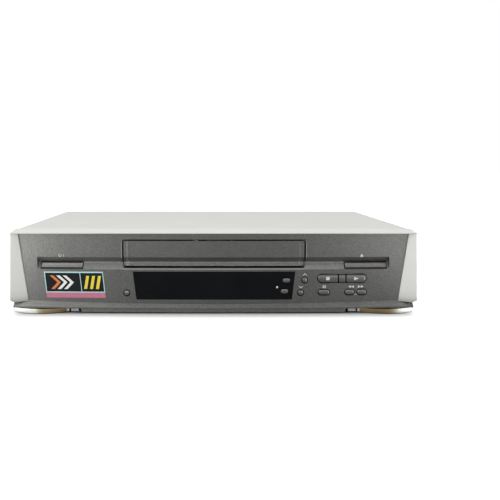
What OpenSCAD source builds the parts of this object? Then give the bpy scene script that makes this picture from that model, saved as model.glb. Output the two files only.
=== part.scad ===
// Front-loading video cassette recorder with its tape deck, boards and case.
// X runs right, the front faces -Y, Z points up; the origin is on the table under the middle.

/* [Body] */
// Width over the front frame
frame_w = 429; // [424:1:440]
// Depth from the front plane to the back edge of the cover
body_d = 286.5; // [284:0.5:310]
// Height of the cover above the tray's underside
body_h = 81; // [80:0.5:90]
// Height of the tray's underside above the table
foot_h = 7; // [6.5:0.5:9]
// Thickness of the cover sheet
cover_t = 0.8; // [0.6:0.1:1.2]
// Outer bend radius of the cover
cover_bend = 2.5; // [1.5:0.5:4]
// How far the cover's sides stand in from the frame's sides
cover_inset = 1; // [0.5:0.25:2]
// Depth of the front frame, back to its seam with the cover
frame_d = 24; // [20:1:26]
// Drop of the frame's sloping top strip
strip_drop = 2.5; // [1.5:0.25:3.5]
// Front edge thickness of the top strip
strip_edge = 0.8; // [0.6:0.1:1.2]
// Thickness of moulded walls
wall = 2.6; // [2:0.1:3]
// Plate thickness of the tray
tray_t = 1.2; // [0.8:0.1:1.6]
// Height of the tray's rim
rim_h = 12; // [8:1:16]
// Gap where two fixed pieces meet
seam = 0.3; // [0.2:0.05:0.4]
// Length of a side vent slot
vent_l = 26; // [16:1:36]
// Number of vent slots on each side
vent_n = 12; // [6:1:16]

/* [Front face] */
// Radius of the bow that the face has in plan
bow_r = 4000; // [3400:100:6000]
// Angle at which the face leans back towards the bottom
lean_deg = 3.8; // [3:0.1:4.2]
// Width of an end cheek at the top
cheek_top_w = 7.1; // [6.1:0.5:9.1]
// Width of an end cheek at the bottom
cheek_low_w = 17.5; // [16:0.5:19]
// Height of the cheeks' lower edge above the tray's underside
cheek_low_h = 5; // [4.5:0.25:5.5]
// Angle of the cheek's facet in plan
cheek_deg = 28.7; // [27:0.1:29.5]
// How far the groove's ends stand in from the sides
groove_in = 27.5; // [24.5:0.5:28.5]
// Height of the groove's top edge
groove_top_h = 52.5; // [52:0.1:53.5]
// Height of the groove's valley
groove_mid_h = 47; // [46.6:0.1:47.6]
// Height of the groove's bottom edge
groove_low_h = 39.5; // [39:0.1:40]
// Depth of the groove's valley behind the face
groove_d = 6; // [5:0.1:6.5]
// Slope of the lip's top
lip_deg = 36.6; // [34:0.2:38]
// Height of the lip's front edge at the middle
lip_edge_h = -0.9; // [-1.2:0.1:-0.6]
// Height at which the lip's slope meets the face at the middle
lip_root_h = 2.6; // [2.2:0.1:3]
// Radius of the lip's front edge in plan
lip_front_r = 8000; // [6000:500:12000]
// How far the lip's ends stand in from the sides
lip_in = 3; // [2.5:0.5:6]
// Gap between the apron below the lip and a front foot
apron_gap = 12.5; // [12.5:0.5:18.5]
// Height of the apron below the lip
apron_h = 4.4; // [3:0.1:4.5]
// Width of the label
label_w = 66; // [50:1:70]
// Height of the label
label_h = 28; // [20:1:29]
// How far the label's left edge stands in from the side
label_in = 34.5; // [31.5:0.5:36.5]

/* [Cassette door] */
// Place of the cassette door's middle
door_x = 0.6; // [0:0.1:1]
// Width of the door opening
door_w = 192.9; // [190:0.1:193.5]
// Height of the opening's top
door_top_h = 71; // [70.5:0.1:71.5]
// Height of the opening's bottom
door_low_h = 41.7; // [41.4:0.1:42.4]
// Gap above and beside the door
door_gap = 1; // [0.8:0.05:1.2]
// Gap below the door
sill_gap = 1.4; // [1:0.1:1.6]
// Thickness of the door's skin
door_t = 2.2; // [1.8:0.1:2.4]
// Radius of the hinge pins
pin_r = 1.2; // [1:0.05:1.4]
// Running clearance of a pin in its hole
fit = 0.06; // [0.04:0.01:0.1]

/* [Display window] */
// Left top corner of the window
win_left_top = -85; // [-86:0.5:-84]
// Left bottom corner of the window
win_left_low = -81.2; // [-82:0.2:-80]
// Right top corner of the window
win_right_top = 86.4; // [85.4:0.2:87]
// Right bottom corner of the window
win_right_low = 83; // [82.6:0.2:84]
// Height of the window's top
win_top_h = 37; // [36:0.2:37.6]
// Height of the window's bottom
win_low_h = 7.6; // [7:0.2:8.6]
// Thickness of the window
win_t = 1.8; // [1.4:0.1:2.2]
// Length of the display tube
tube_l = 120; // [90:1:130]

/* [Buttons] */
// Travel of every button
key_travel = 0.8; // [0.5:0.05:1]
// Gap round a button
key_gap = 0.7; // [0.5:0.05:0.9]
// How far a button stands out of the face
key_proud = 1.1; // [0.8:0.1:1.4]
// Edge chamfer of a button
key_edge = 0.5; // [0.3:0.05:0.6]
// Height of the stop and play row
transport_h = 29.8; // [29:0.1:31]
// Middle of the stop and play row
transport_x = 136.5; // [135.5:0.1:137.5]
// Length of the stop and play row
transport_w = 51.2; // [49:0.2:53]
// Height of the stop and play buttons
transport_tall = 8.2; // [7:0.1:8.8]
// Width of the fixed spacer between stop and play
spacer_w = 6.6; // [5:0.2:8]
// Gap on each side of the spacer
spacer_gap = 1.4; // [1:0.1:1.6]
// Height of the pause, rewind and forward row
low_row_h = 15.1; // [14:0.1:16]
// Middle of the pause button
pause_x = 117.3; // [116.5:0.1:118]
// Width of the pause button
pause_w = 11.6; // [10:0.2:12]
// Middle of the rewind button
rewind_x = 144.7; // [144:0.1:144.8]
// Middle of the forward button
forward_x = 157.6; // [157.4:0.1:158.4]
// Width of the rewind and forward buttons
wind_w = 9.4; // [8:0.2:9.8]
// Height of the buttons in the low row
low_row_tall = 5.2; // [4.6:0.1:5.8]
// Diameter of the round buttons
round_d = 5.4; // [4.6:0.1:6]
// Middle of the channel up button
channel_up_x = 96.6; // [96.2:0.1:97.4]
// Height of the channel up button
channel_up_h = 28.1; // [27:0.1:29]
// Middle of the channel down button
channel_down_x = 92.5; // [92:0.1:93]
// Height of the channel down button
channel_down_h = 14.7; // [14:0.1:15.5]
// Middle of the round button left of the window
link_x = -91.8; // [-93:0.1:-91.5]
// Height of the round button left of the window
link_h = 14.4; // [13.6:0.1:15]
// Middle of the timer button
timer_x = 77.4; // [76:0.1:77.8]
// Height of the timer button
timer_h = 27.7; // [27:0.1:29]
// Middle of the record button
record_x = 75.4; // [74:0.1:76]
// Height of the record button
record_h = 16.1; // [15.4:0.1:17]
// Width of the timer and record buttons
win_key_w = 7.7; // [6.6:0.1:8.2]
// Height of the timer and record buttons
win_key_tall = 4.6; // [4:0.1:5.2]
// How far the power button's middle stands in from the side
power_in = 53.4; // [52.5:0.1:54]
// How far the eject button's middle stands in from the side
eject_in = 52.4; // [52:0.1:53]
// Length of the power and eject bars
bar_w = 44; // [40:0.5:45]

/* [Feet] */
// Length of a front foot
foot_w = 59; // [55:1:61]
// Radius of a front foot's rounded front
foot_arc_r = 50; // [44:1:70]
// Middle of a front foot, in from the side
foot_in = 31.5; // [31:0.5:34]
// How far a front foot's front lies behind the front plane
foot_back = 0.5; // [0:0.1:2]
// Depth of a front foot
foot_d = 34; // [28:1:38]
// Thickness of the pads under the front feet
pad_t = 0.8; // [0.5:0.1:1.2]
// Radius of a rear foot
rear_foot_r = 9; // [7:0.5:11]

/* [Rear] */
// How far the sockets and the screws stand out behind the cover
socket_proud = 2.5; // [2:0.1:3.5]
// How far the rear panel lies inside the cover's back edge
panel_in = 1.5; // [1:0.1:2.5]
// Thickness of the rear panel
panel_t = 2; // [1.5:0.1:2.5]
// Width of an audio-video socket
scart_w = 47; // [46:0.5:50]
// Height of an audio-video socket
scart_h = 15; // [14:0.5:16]
// Middle of the audio-video sockets
scart_x = 55; // [50:1:60]
// How far the aerial sockets stand in from the side
aerial_in = 56.5; // [52.5:0.5:60.5]
// Radius of an aerial socket
aerial_r = 4.8; // [4.5:0.1:5.2]
// How far the mains inlet stands in from the side
inlet_in = 49.5; // [44.5:0.5:54.5]

/* [Boards] */
// Thickness of the circuit boards
board_t = 1.6; // [1.2:0.1:1.8]
// Height of the main board above the tray's underside
board_h = 4; // [3.6:0.1:4.6]
// Depth of the front board behind the front plane
front_board_d = 23.5; // [23.2:0.1:23.8]
// Side of a key switch
switch_w = 6; // [5:0.1:6.4]
// Height of a key switch's body
switch_t = 3.5; // [3:0.1:3.6]

/* [Deck] */
// Height of the deck plate above the tray's underside
deck_h = 19; // [19:0.2:21]
// Thickness of the deck plate
deck_t = 1.2; // [1:0.1:1.4]
// Half width of the deck plate
deck_half = 108; // [107:0.5:110]
// Front edge of the deck plate, in front of the middle
deck_front = 98; // [96:1:100]
// Back edge of the deck plate, behind the middle
deck_back = 100; // [99:1:103]
// Gap between pieces that move past each other
gap = 0.3; // [0.25:0.01:0.35]

/* [Drum] */
// Radius of the head drum
drum_r = 31; // [30:0.1:31.5]
// Place of the drum behind the middle
drum_y = 60; // [59.5:0.1:61]
// Tilt of the drum
drum_tilt = 5; // [4:0.1:6]
// Height of the lower drum
lower_drum_h = 19; // [17:0.2:20]
// Height of the upper drum
upper_drum_h = 16; // [14:0.2:18]
// Radius of the drum shaft
drum_shaft_r = 3; // [2.5:0.1:3.5]
// Radius of the guides' path round the drum
guide_path_r = 48; // [47:0.5:49]
// Angle from the front at which a guide starts
guide_start_deg = 22; // [21:0.5:24]
// Turn of a guide round the drum
guide_turn_deg = 70; // [66:1:72]
// Radius of a guide roller
roller_r = 3; // [2.6:0.1:3.4]

/* [Reels] */
// Distance of a reel from the middle
reel_x = 46; // [45.6:0.1:46.4]
// Place of the reels in front of the middle
reel_front = 42; // [41:0.1:43]
// Radius of a reel table's rim
reel_r = 24; // [22.5:0.1:24.2]
// Radius of a reel's spindle
spindle_r = 5; // [4.5:0.1:5.5]
// Place of the clutch in front of the middle
clutch_front = 28; // [27.6:0.1:28.4]
// Radius of the clutch wheel
clutch_r = 9.7; // [9:0.1:9.7]
// Radius of the idler wheel
idler_r = 14; // [13:0.1:14]
// Length of the idler arm
idler_l = 24; // [24:0.1:24.4]

/* [Capstan and pinch roller] */
// Place of the capstan, right of the middle
capstan_x = 66; // [65.5:0.1:66.2]
// Place of the capstan behind the middle
capstan_y = 24; // [23.8:0.1:24.4]
// Radius of the capstan shaft
capstan_r = 1.5; // [1.3:0.05:1.6]
// Radius of the flywheel
flywheel_r = 19; // [17:0.5:20]
// Radius of the capstan pulley
capstan_pulley_r = 6; // [5:0.1:7]
// Radius of the clutch pulley
clutch_pulley_r = 13; // [12:0.1:15]
// Thickness of the belt
belt_t = 1; // [0.8:0.1:1.2]
// Radius of the pinch roller
pinch_r = 5.5; // [5:0.1:5.5]
// Place of the pinch arm's pivot, right of the middle
pinch_x = 88; // [87.8:0.1:88.4]
// Place of the pinch arm's pivot behind the middle
pinch_y = 40; // [39.8:0.1:40.4]
// Length of the pinch arm
pinch_l = 21.7; // [21.3:0.1:21.7]
// Direction of the pinch arm at rest, from the X axis
pinch_rest_deg = 190; // [189:0.5:191]

/* [Loading drive] */
// Module of the gear teeth
gear_m = 1; // [0.9:0.02:1.04]
// Teeth of the motor pinion
pinion_n = 12; // [12:1:13]
// Teeth of the cam gear
cam_n = 36; // [33:1:36]
// Play added to the gears' centre distance
mesh_play = 0.2; // [0.15:0.01:0.3]
// Place of the cam gear, left of the middle
cam_left = 80; // [79:0.5:82]
// Place of the cam gear behind the middle
cam_y = 64; // [63:0.5:65]
// Direction from the cam gear to the pinion
pinion_deg = 60; // [55:1:65]
// Radius of the loading motor
motor_r = 11; // [9:0.5:11]
// Length of the loading motor
motor_l = 17; // [14:0.5:17.5]

/* [Cassette carriage] */
// Width of the cassette with its play in the holder
cassette_w = 189.4; // [188.6:0.1:189.6]
// Travel of the carriage into the recorder
carriage_travel = 69; // [64:1:70]
// Drop of the holder onto the reels
holder_drop = 16; // [14:0.5:16]
// Sheet thickness of the holder
holder_t = 1; // [0.8:0.1:1.2]
// Sheet thickness of the carriage
carriage_t = 1.5; // [1.2:0.1:1.6]
// Sheet thickness of the carriage frame
bracket_t = 1.2; // [1:0.1:1.4]
// Front edge of the holder, in front of the middle
holder_front = 106; // [105:0.5:106]
// Depth of the holder
holder_d = 53; // [51:1:55]
// Height of the cassette's rest in the holder
ledge_h = 42.1; // [42:0.1:42.6]
// Inner height of the holder
holder_h = 26.3; // [26:0.1:26.6]
// Width of a ledge that the cassette rests on
ledge_w = 10.7; // [8:0.1:11]
// Radius of the holder's pins
holder_pin_r = 1.5; // [1.2:0.1:1.7]
// Radius of the carriage's pins
carriage_pin_r = 2; // [1.6:0.1:2.2]

/* [Hidden] */
$fn = 48;
bow_fn = 1440;
eps = 0.01;

// Levels and edges of the case
side_x = frame_w / 2;
groove_half = side_x - groove_in;
lip_half = side_x - lip_in;
foot_x = side_x - foot_in;
apron_half = foot_x - foot_w / 2 - apron_gap;
power_left = side_x - power_in;
eject_x = side_x - eject_in;
aerial_x = side_x - aerial_in;
inlet_left = side_x - inlet_in;
front_y = -(body_d + socket_proud) / 2;
back_y = front_y + body_d;
tray_z = foot_h;
tray_top = tray_z + tray_t;
top_z = tray_z + body_h;
face_top = top_z - strip_drop;
seam_y = front_y + frame_d;
cover_half = side_x - cover_inset;
inside_half = cover_half - cover_t - seam;
ceiling_z = top_z - cover_t;
panel_y = back_y - panel_in;
socket_y = back_y + socket_proud;
screw_r = 3.4;

// Levels of the front face
strip_z = face_top - strip_edge;
fascia_top = strip_z - 0.05;
groove_top = tray_z + groove_top_h;
groove_mid = tray_z + groove_mid_h;
groove_low = tray_z + groove_low_h;
lip_edge = tray_z + lip_edge_h;
lip_root = tray_z + lip_root_h;
lip_under = lip_edge - 0.5;
lip_back_d = 8.2;
cheek_low = tray_z + cheek_low_h;
door_top = tray_z + door_top_h;
door_low = tray_z + door_low_h;
win_top = tray_z + win_top_h;
win_low = tray_z + win_low_h;
win_sunk = 0.35;
win_rim = 1.5;
win_rim_t = 1.1;

// Places that several forms share are rounded, so that their faces meet exactly
function tidy(v) = round(v * 100) / 100;

// The face leans back by lean() at a height and bows back by bow() from the middle
function turn_at(x) = round(asin(x / bow_r) * 1000) / 1000;
function lean(z) = (face_top - z) * tan(lean_deg);
function bow(x) = bow_r - sqrt(bow_r * bow_r - x * x);
function face_y(x, z) = front_y + lean(z) + bow(x);
groove_mid_d = lean(groove_mid) + groove_d;
function slope_d(z) =
  lean(groove_low) + (groove_mid_d - lean(groove_low)) * (z - groove_low) / (groove_mid - groove_low);

// The door's ears reach up behind the face to the pins that it swings on
hinge_z = door_top + 2.5;
hinge_y = tidy(face_y(door_w / 2, hinge_z) + wall + 2);
hinge_boss_r = pin_r + 0.4;
pin_l = 2;
ear_t = 2.5;
door_half = door_w / 2 - door_gap;

// Buttons: where each one presses, and its switch behind it
transport_z = tray_z + transport_h;
low_row_z = tray_z + low_row_h;
bar_low = groove_low + 0.6;
bar_high = groove_mid - 0.5;
bar_z = (bar_low + bar_high) / 2;
half_row = (transport_w - spacer_w) / 2 - spacer_gap;
stop_x = transport_x - (transport_w - half_row) / 2;
play_x = transport_x + (transport_w - half_row) / 2;
board_y = front_y + front_board_d;
plunger_t = 0.8;
plunger_r = 1.7;
stem_end = board_y - switch_t - plunger_t - key_travel - gap;
flange_t = 1.2;
flange_w = 0.9;
key_sites = [
  [-power_left, bar_z], [eject_x, bar_z],
  [stop_x, transport_z], [play_x, transport_z],
  [pause_x, low_row_z], [rewind_x, low_row_z], [forward_x, low_row_z],
  [channel_up_x, tray_z + channel_up_h], [channel_down_x, tray_z + channel_down_h],
  [timer_x, tray_z + timer_h], [record_x, tray_z + record_h], [link_x, tray_z + link_h]
];

// Rear sockets
scart_low_z = tray_z + 16;
scart_pitch = 24;
scart_d = 20;
aerial_low_z = tray_z + 15;
aerial_pitch = 19;
inlet_z = tray_z + 17;
inlet_w = 22;
inlet_h = 15;

// Levels of the deck
board_z = tray_z + board_h;
board_top = board_z + board_t;
deck_z = tray_z + deck_h;
deck_top = deck_z + deck_t;
deck_leg_r = 4;
deck_leg_x = 94;
deck_leg_front = 88;
deck_leg_back = 92;

// Belt and pulleys under the deck
pulley_z = tray_z + 6.5;
pulley_h = 3.5;
pulley_flange = 0.5;
flange_proud = 1.3;
belt_play = 0.1;

// Reels, idler and clutch above the deck
reel_y = -reel_front;
clutch_y = -clutch_front;
idler_y = clutch_y - idler_l;
wheel_z = deck_top + 1.4;
wheel_t = 2.8;
reel_post_r = 1.5;
reel_hub_h = 9;
reel_spindle_h = 17;
clutch_shaft_r = 2;

// Pinch arm above the capstan
pinch_post_z = deck_top + 25.5;
capstan_top = pinch_post_z - 0.5;
pinch_arm_t = 1.6;
pinch_roller_z = deck_top + 12.8;
pinch_roller_h = 12;
post_r = 1.5;

// Loading gears above the motor
cam_pitch_r = gear_m * cam_n / 2;
pinion_pitch_r = gear_m * pinion_n / 2;
gear_distance = cam_pitch_r + pinion_pitch_r + mesh_play;
gear_z = deck_top + motor_l + 2;
gear_t = 4;
motor_x = -cam_left + gear_distance * cos(pinion_deg);
motor_y = cam_y + gear_distance * sin(pinion_deg);

// Cassette holder, carriage and frame, from the inside out
ledge_z = tray_z + ledge_h;
holder_half = cassette_w / 2;
holder_out = holder_half + holder_t;
holder_top = ledge_z + holder_h;
holder_y0 = -holder_front;
holder_y1 = holder_y0 + holder_d;
ledge_ahead = 11;
carriage_in = holder_out + 1.3;
carriage_out = carriage_in + carriage_t;
bracket_in = carriage_out + 1.7;
bracket_out = bracket_in + bracket_t;
holder_pin_z = holder_top - 7.5;
holder_pin_front = holder_y0 + 15;
holder_pin_back = holder_y1 - 16;
carriage_y0 = holder_y0 + 1;
carriage_y1 = holder_y1 - 2;
carriage_pin_z = holder_pin_z - 6;
carriage_pin_front = carriage_y0 + 5;
carriage_pin_back = carriage_y1 - 5;
carriage_low = holder_pin_z - holder_drop - holder_pin_r - gap - 2.2;
carriage_top = holder_top + 4;
bridge_z = ceiling_z - 3.5;

// Shared forms

module span(x, y, z) {
  translate([x[0], y[0], z[0]])
    cube([x[1] - x[0], y[1] - y[0], z[1] - z[0]]);
}

module rod_x(r, x, y, z) {
  translate([x[0], y, z])
    rotate([0, 90, 0])
      cylinder(r = r, h = x[1] - x[0]);
}

module rod_y(r, x, y, z) {
  translate([x, y[1], z])
    rotate([90, 0, 0])
      cylinder(r = r, h = y[1] - y[0]);
}

module rod_z(r, x, y, z) {
  translate([x, y, z[0]])
    cylinder(r = r, h = z[1] - z[0]);
}

module both_sides() {
  children();
  mirror([1, 0, 0])
    children();
}

// A plan outline in X and Z, drawn out along Y
module along_y(y) {
  translate([0, y[1], 0])
    rotate([90, 0, 0])
      linear_extrude(y[1] - y[0])
        children();
}

// A plan outline that reaches from in front of the face to behind it
module through_face() {
  along_y([front_y - 5, front_y + 30])
    children();
}

// A section in Y and Z, drawn out along X
module along_x(x) {
  translate([x[0], 0, 0])
    rotate([90, 0, 90])
      linear_extrude(x[1] - x[0])
        children();
}

// A section in depth and height, swept along the face's bow
module along_bow(x) {
  start = turn_at(x[0]);
  translate([0, front_y + bow_r, 0])
    rotate([0, 0, -90])
      rotate_extrude(angle = turn_at(x[1]) - start, start = start, $fn = bow_fn)
        translate([bow_r, 0])
          mirror([1, 0])
            children();
}

// Section of a sheet behind the leaning face, between two heights and two depths
module plain_section(z, d) {
  polygon([
    [lean(z[0]) + d[0], z[0]], [lean(z[1]) + d[0], z[1]],
    [lean(z[1]) + d[1], z[1]], [lean(z[0]) + d[1], z[0]]
  ]);
}

// The groove's back, and its front when the sheet is folded into the groove
function groove_back(t) = [
  [lean(groove_low) + t, groove_low - 0.3 * t], [groove_mid_d + t, groove_mid - 1.2],
  [groove_mid_d + t, groove_mid + 0.8], [lean(groove_top) + t, groove_top + t]
];
groove_front = [
  [lean(groove_top), groove_top], [groove_mid_d, groove_mid], [lean(groove_low), groove_low]
];

module groove_section(z, t, folded) {
  polygon(concat(
    [[lean(z[1]), z[1]]], folded ? groove_front : [], [[lean(z[0]), z[0]], [lean(z[0]) + t, z[0]]],
    groove_back(t), [[lean(z[1]) + t, z[1]]]
  ));
}

module rounded_box_2d(x, z, r) {
  translate([x[0] + r, z[0]])
    square([x[1] - x[0] - 2 * r, z[1] - z[0]]);
  translate([x[0], z[0] + r])
    square([x[1] - x[0], z[1] - z[0] - 2 * r]);
  for (px = [x[0] + r, x[1] - r], pz = [z[0] + r, z[1] - r])
    translate([px, pz])
      circle(r);
}

module pill_2d(x, z, w, h) {
  for (s = [-1, 1])
    translate([x + s * (w - h) / 2, z])
      circle(h / 2);
  if (w > h)
    translate([x - (w - h) / 2, z - h / 2])
      square([w - h, h]);
}

// A button's cap along Y with a chamfered front edge
module cap(x, z, w, h, y) {
  r = h / 2;
  l = y[1] - y[0];
  for (s = [-1, 1])
    translate([x + s * (w - h) / 2, y[0], z])
      rotate([-90, 0, 0])
        rotate_extrude()
          polygon([[0, 0], [r - key_edge, 0], [r, key_edge], [r, l], [0, l]]);
  if (w > h)
    along_x([x - (w - h) / 2, x + (w - h) / 2])
      polygon([
        [y[0], z - r + key_edge], [y[0], z + r - key_edge], [y[0] + key_edge, z + r],
        [y[1], z + r], [y[1], z - r], [y[0] + key_edge, z - r]
      ]);
}

// Outline of the dark fascia between the slanting cheeks
module between_cheeks(play) {
  low_half = side_x - cheek_low_w - play;
  top_half = side_x - cheek_top_w - play;
  slant = (top_half - low_half) / (face_top - cheek_low);
  z0 = tray_z - 8;
  z1 = top_z + 2;
  polygon([
    [low_half + slant * (z0 - cheek_low), z0], [low_half + slant * (z1 - cheek_low), z1],
    [-low_half - slant * (z1 - cheek_low), z1], [-low_half - slant * (z0 - cheek_low), z0]
  ]);
}

module window_outline(grow) {
  polygon([
    [win_left_top - grow, win_top + grow], [win_right_top + grow, win_top + grow],
    [win_right_low + grow, win_low - grow], [win_left_low - grow, win_low - grow]
  ]);
}

module door_outline(play) {
  rounded_box_2d(
    [door_x - door_w / 2 + play, door_x + door_w / 2 - play],
    [door_low + play * sill_gap / door_gap, door_top - play],
    2.6 - play);
}

module screw(x, y, z, turn) {
  translate([x, y, z])
    rotate(turn)
      difference() {
        union() {
          cylinder(r = screw_r, h = 1.5);
          translate([0, 0, -5])
            cylinder(r = 1.5, h = 5 + eps);
        }
        for (a = [0, 90])
          rotate([0, 0, a])
            translate([-2, -0.4, 0.7])
              cube([4, 0.8, 1]);
      }
}

// Case

cover_screw_z = tray_z + 8;
cover_screw_y = [-body_d * 0.2, body_d * 0.32];
rear_screw_x = [-side_x + 20, 0, side_x - 20];
rear_screw_z = top_z - 8;

module cover_outline(half, top, bend, low) {
  translate([-half, low])
    square([2 * half, top - bend - low]);
  translate([-half + bend, low])
    square([2 * (half - bend), top - low]);
  for (s = [-1, 1])
    translate([s * (half - bend), top - bend])
      circle(bend);
}

module top_cover() {
  color([0.86, 0.86, 0.83])
    difference() {
      along_y([seam_y + seam, back_y])
        difference() {
          cover_outline(cover_half, top_z, cover_bend, tray_z + 1);
          cover_outline(cover_half - cover_t, ceiling_z, cover_bend - cover_t, tray_z);
        }
      for (y = cover_screw_y)
        rod_x(1.7, [-cover_half - 1, cover_half + 1], y, cover_screw_z);
      for (i = [0 : vent_n - 1], s = [-1, 1])
        translate([s * cover_half, back_y - 30 - 6 * i, tray_z + 50])
          cube([4 * cover_t, 2.4, vent_l], center = true);
    }
}

module screws() {
  color([0.75, 0.75, 0.73]) {
    for (y = cover_screw_y) {
      screw(cover_half, y, cover_screw_z, [0, 90, 0]);
      screw(-cover_half, y, cover_screw_z, [0, -90, 0]);
    }
    for (x = rear_screw_x)
      screw(x, panel_y, rear_screw_z, [-90, 0, 0]);
    for (x = [-deck_leg_x, deck_leg_x], y = [-deck_leg_front, deck_leg_back])
      screw(door_x + x, y, deck_top, [0, 0, 0]);
  }
}

tray_front = front_y + lip_back_d + bow(lip_half) + 1.5;
tray_back = panel_y - panel_t - seam;
block_x0 = apron_half + 1.5;
block_x1 = block_x0 + 8;
frame_in = side_x - wall - seam;

module bottom_tray() {
  color([0.62, 0.62, 0.6])
    difference() {
      union() {
        span([-frame_in, frame_in], [tray_front, seam_y + 2], [tray_z, tray_top]);
        span([-frame_in, frame_in], [tray_front, tray_front + tray_t], [tray_z, tray_z + 4]);
        span([-inside_half, inside_half], [seam_y + seam, tray_back], [tray_z, tray_top]);
        difference() {
          span([-inside_half, inside_half], [seam_y + seam, tray_back], [tray_z, tray_z + rim_h]);
          span([-inside_half + tray_t, inside_half - tray_t],
            [seam_y, tray_back - tray_t], [tray_top - eps, tray_z + rim_h + 1]);
          span([-inside_half + 6, inside_half - 6],
            [seam_y, tray_back + 1], [tray_z + 4, tray_z + rim_h + 1]);
        }
        for (x = [-deck_leg_x, deck_leg_x], y = [-deck_leg_front, deck_leg_back])
          rod_z(deck_leg_r, door_x + x, y, [tray_top - eps, deck_z]);
        for (x = board_posts_x, y = board_posts_y)
          rod_z(3, x, y, [tray_top - eps, board_z]);
        both_sides() {
          span([block_x0, block_x1], [front_y + 4, tray_front + 8], [tray_z - 4.5, lip_under - seam]);
          span([block_x0, block_x1], [tray_front, tray_front + 8], [lip_under - seam - eps, tray_z + eps]);
        }
        both_sides()
          for (y = cover_screw_y)
            span([inside_half - 5.5, inside_half - eps], [y - 4, y + 4], [tray_top - eps, tray_z + rim_h]);
      }
      for (x = [-deck_leg_x, deck_leg_x], y = [-deck_leg_front, deck_leg_back])
        rod_z(1.6, door_x + x, y, [deck_z - 6, deck_z + 1]);
      both_sides()
        for (y = cover_screw_y)
          rod_x(1.6, [inside_half - 7, inside_half + 1], y, cover_screw_z);
      for (i = [-6 : 6])
        translate([i * 9 - 150, 20, tray_z])
          cube([3, 60, 4 * tray_t], center = true);
    }
}

module front_frame() {
  facet = tan(cheek_deg);
  edge = 0.9;
  inner_x = side_x - cheek_low_w - 3;
  inner_y = front_y + (side_x - edge - inner_x) * facet;
  color([0.87, 0.87, 0.85]) {
    along_x([-side_x, side_x])
      polygon([
        [front_y, strip_z], [front_y, face_top], [seam_y, top_z], [seam_y, top_z - wall],
        [front_y + 12, strip_z + 0.8], [front_y + 10, strip_z]
      ]);
    both_sides() {
      along_x([side_x - wall, side_x])
        polygon([
          [front_y + edge, strip_z - 1], [front_y + edge, face_top - eps],
          [seam_y, top_z - eps], [seam_y, strip_z - 1]
        ]);
      difference() {
        translate([0, 0, cheek_low])
          linear_extrude(strip_z - cheek_low + eps)
            polygon([
              [side_x, seam_y], [side_x, front_y + edge], [side_x - edge, front_y],
              [inner_x, inner_y], [inner_x, inner_y + wall],
              [side_x - wall, front_y + wall + 1.8], [side_x - wall, seam_y]
            ]);
        along_y([front_y - 1, seam_y + 1])
          between_cheeks(0);
        along_y([front_y - 1, seam_y + 1])
          polygon([
            [side_x - 4.5, cheek_low - 1], [side_x - 4.5, cheek_low],
            [side_x + 0.1, cheek_low + 2.6], [side_x + 1, cheek_low - 1]
          ]);
      }
    }
  }
}

// The fascia's sections are swept over one reach, then cut to length
face_reach = [-lip_half, lip_half];

module lip() {
  slope = tan(lip_deg);
  under_slope = 0.25;
  root_y = front_y + lean(lip_root);
  edge_y = tidy(root_y - (lip_root - lip_edge) / slope);
  before = 0.6;
  behind = 20;
  top = cheek_low + 6;
  steps = 8;
  step = lip_half / steps;
  difference() {
    intersection() {
      linear_extrude(top)
        polygon(concat(
          [for (i = [-steps : steps]) [i * step, edge_y + i * step * i * step / (2 * lip_front_r)]],
          [for (i = [steps : -1 : -steps]) [i * step, front_y + bow(i * step) + lip_back_d]]
        ));
      along_x([-side_x, side_x])
        polygon([
          [edge_y - before, lip_under - before * under_slope],
          [edge_y - before, lip_edge - before * slope],
          [edge_y + behind, lip_edge + behind * slope],
          [edge_y + behind, lip_under + behind * under_slope]
        ]);
    }
    both_sides()
      difference() {
        span([side_x - cheek_low_w - 8, side_x], [front_y - 5, seam_y], [cheek_low - 0.1, top + 2]);
        along_y([front_y - 6, seam_y + 1])
          between_cheeks(0.05);
      }
  }
}

module apron() {
  intersection() {
    along_bow(face_reach)
      polygon([
        [1.4, lip_under + 0.4], [2.6, lip_under - apron_h],
        [4.8, lip_under - apron_h], [5.8, lip_under + 2]
      ]);
    along_y([front_y - 5, front_y + 12])
      polygon([
        [-apron_half, lip_under + 3], [apron_half, lip_under + 3],
        [apron_half - 1.6, lip_under - apron_h - 1], [-apron_half + 1.6, lip_under - apron_h - 1]
      ]);
  }
}

// Bosses on the back of the fascia that carry the front board
board_boss_x = [104.5, groove_half - 7];
board_boss_z = tray_z + 11;

// Round and pill-shaped holes for the buttons that sit in the face itself
module face_key_holes() {
  grow = 2 * key_gap;
  pill_2d(transport_x, transport_z, transport_w + grow, transport_tall + grow);
  pill_2d(pause_x, low_row_z, pause_w + grow, low_row_tall + grow);
  for (x = [rewind_x, forward_x])
    pill_2d(x, low_row_z, wind_w + grow, low_row_tall + grow);
  for (i = [7, 8, 11])
    translate(key_sites[i])
      circle(round_d / 2 + key_gap);
}

module window_key_holes() {
  grow = 2 * key_gap;
  for (i = [9, 10])
    pill_2d(key_sites[i][0], key_sites[i][1], win_key_w + grow, win_key_tall + grow);
}

module bar_outline(x, grow) {
  translate([x - bar_w / 2 - grow, bar_low - grow * 0.6])
    square([bar_w + 2 * grow, bar_high - bar_low + 1.2 * grow]);
}

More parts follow.
